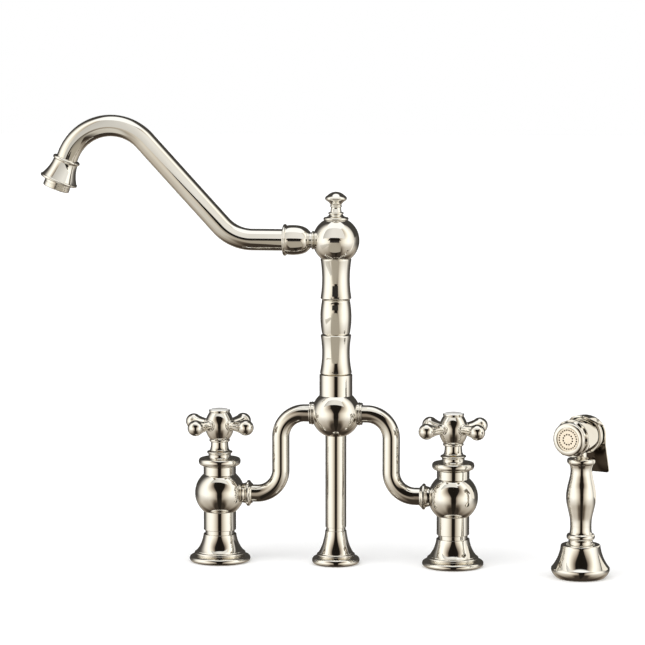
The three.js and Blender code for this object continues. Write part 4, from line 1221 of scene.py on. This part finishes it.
for name, s in cardSettings.items():
    corners = []
    for (depth, height), wide in ((s.near, 1), (s.far, s.get("spread", 1))):
        for x in (s.left * wide, s.right * wide):
            corners.append(deck / mm + Vector((x, -depth, height)))
    card = bpy.data.objects.new(name, meshOf(corners, [(0, 2, 3, 1)]))
    bpy.context.scene.collection.objects.link(card)
    card.visible_camera = card.visible_diffuse = card.visible_shadow = card.visible_transmission = False
    paper = bpy.data.materials.new(name)
    paper.use_nodes = True
    tree = paper.node_tree
    tree.nodes.clear()
    place = shader(tree, "TexCoord", {}).outputs["Generated"]
    across = shader(tree, "SeparateXYZ", {"Vector": place}).outputs["X"]
    shown = shader(tree, "Emission", {"Color": ramp(tree, across, s.stops)}).outputs[0]
    if "soft" in s:  # clear from below, and towards both sides
        offset = shader(tree, "Math", {0: across, 1: 0.5}, operation="SUBTRACT").outputs[0]
        offset = shader(tree, "Math", {0: offset}, operation="ABSOLUTE").outputs[0]
        side = {"Value": offset, "From Min": 0.5 - s.soft, "From Max": 0.5}
        side = shader(tree, "MapRange", side, interpolation_type="SMOOTHSTEP").outputs["Result"]
        behind = shader(tree, "NewGeometry", {}).outputs["Backfacing"]
        hidden = shader(tree, "Math", {0: side, 1: behind}, operation="MAXIMUM").outputs[0]
        clear = shader(tree, "BsdfTransparent", {}).outputs[0]
        shown = shader(tree, "MixShader", {0: hidden, 1: shown, 2: clear}).outputs[0]
    tree.links.new(shown, tree.nodes.new("ShaderNodeOutputMaterial").inputs["Surface"])
    card.data.materials.append(paper)


# The world is what the metal mirrors: bright panels at both sides, a dark gap towards the camera,
# a dark room behind, a white ceiling and a dim brown floor.
def makeStudio():
    world = bpy.data.worlds.new("studio")
    bpy.context.scene.world = world
    world.use_nodes = True
    tree = world.node_tree
    tree.nodes.clear()
    direction = shader(tree, "TexCoord", {}).outputs["Generated"]
    faced = shader(
        tree, "VectorRotate", {"Vector": direction, "Angle": -radians(c.azimuth)}, rotation_type="Z_AXIS"
    ).outputs["Vector"]
    split = shader(tree, "SeparateXYZ", {"Vector": faced})

    def calc(operation, first, second=0.0, third=0.0):
        return shader(tree, "Math", {0: first, 1: second, 2: third}, operation=operation).outputs[0]

    def ease(value, low, high, bottom=0.0, top=1.0):
        given = {"Value": value, "From Min": low, "From Max": high, "To Min": bottom, "To Max": top}
        return shader(tree, "MapRange", given, interpolation_type="SMOOTHSTEP").outputs["Result"]

    sideways = calc("ABSOLUTE", split.outputs["X"])
    towards = calc("MULTIPLY", split.outputs["Y"], -1)
    around = calc("DIVIDE", calc("ARCTAN2", sideways, towards), pi)  # 0 at the camera, 1 behind
    rise = calc("DIVIDE", calc("ARCSINE", split.outputs["Z"]), pi / 2)

    def over(value, lower, upper):
        given = {"Factor": value, "A": lower, "B": upper}
        return shader(tree, "Mix", given, data_type="RGBA").outputs[2]

    # The gap at the camera widens upwards, into a dark wedge.
    narrow = calc("DIVIDE", around, ease(rise, 0.02, 0.5, 1.0, 3.2))
    settled = ease(around, 0.2, 0.5)
    rear = calc("ADD", around, calc("MULTIPLY", split.outputs["X"], 0.02))
    narrow = calc("MULTIPLY", narrow, calc("SUBTRACT", 1, settled))
    place = calc("ADD", calc("MULTIPLY", rear, settled), narrow)
    panels = ramp(
        tree,
        place,
        [
            (0.0, (0.010, 0.008, 0.006)),
            (0.055, (0.012, 0.010, 0.008)),
            (0.068, (0.22, 0.18, 0.14)),
            (0.114, (0.52, 0.46, 0.38)),
            (0.2, (0.83, 0.78, 0.67)),
            (0.27, (1.0, 0.97, 0.87)),
            (0.36, (1.07, 1.05, 0.99)),
            (0.475, (0.97, 0.94, 0.87)),
            (0.54, (0.80, 0.77, 0.70)),
            (0.6, (0.44, 0.42, 0.385)),
            (0.67, (0.13, 0.12, 0.11)),
            (0.8, (0.055, 0.05, 0.045)),
        ],
    )
    brighter = ease(rise, -0.19, -0.04, 1.0, 1.16)
    panels = shader(tree, "VectorMath", {0: panels, "Scale": brighter}, operation="SCALE")
    backdrop = calc("ADD", around, calc("MULTIPLY", split.outputs["X"], 0.09))
    backdrop = calc("MULTIPLY", ease(backdrop, 0.64, 0.69), ease(rise, 0.05, 0.11))
    walls = over(backdrop, panels.outputs["Vector"], (0.06, 0.056, 0.05, 1))
    ceiling = calc("SUBTRACT", rise, ease(around, 0.5, 0.72, 0.62, 0.7))
    lit = over(ease(ceiling, 0, 0.06), walls, (1.12, 1.12, 1.1, 1))
    low = calc("MULTIPLY", rise, -1)
    deeper = calc("ADD", ease(around, 0.1, 0.32, 0.36, 0.0), ease(around, 0.55, 0.75, 0.0, 0.25))
    ground = ramp(
        tree,
        calc("ADD", low, deeper),
        [
            (0.3, (0.66, 0.61, 0.53)),
            (0.52, (0.43, 0.38, 0.31)),
            (0.7, (0.15, 0.12, 0.09)),
            (0.84, (0.045, 0.035, 0.026)),
        ],
    )
    ground = over(ease(around, 0.05, 0.08, 1.0, 0.0), ground, (0.02, 0.016, 0.012, 1))
    mirrored = over(ease(low, 0.1, 0.34), lit, ground)
    studio = shader(tree, "Background", {"Color": mirrored}).outputs[0]
    soft = shader(tree, "Background", {"Color": (1, 1, 1, 1), "Strength": 0.62}).outputs[0]
    white = shader(tree, "Background", {"Color": (1, 1, 1, 1)}).outputs[0]
    path = shader(tree, "LightPath", {})
    indirect = shader(tree, "MixShader", {0: path.outputs["Is Glossy Ray"], 1: soft, 2: studio}).outputs[0]
    shown = shader(tree, "MixShader", {0: path.outputs["Is Camera Ray"], 1: indirect, 2: white}).outputs[0]
    tree.links.new(shown, tree.nodes.new("ShaderNodeOutputWorld").inputs["Surface"])


makeStudio()
bpy.context.scene.view_settings.view_transform = "Standard"
print("studio made")
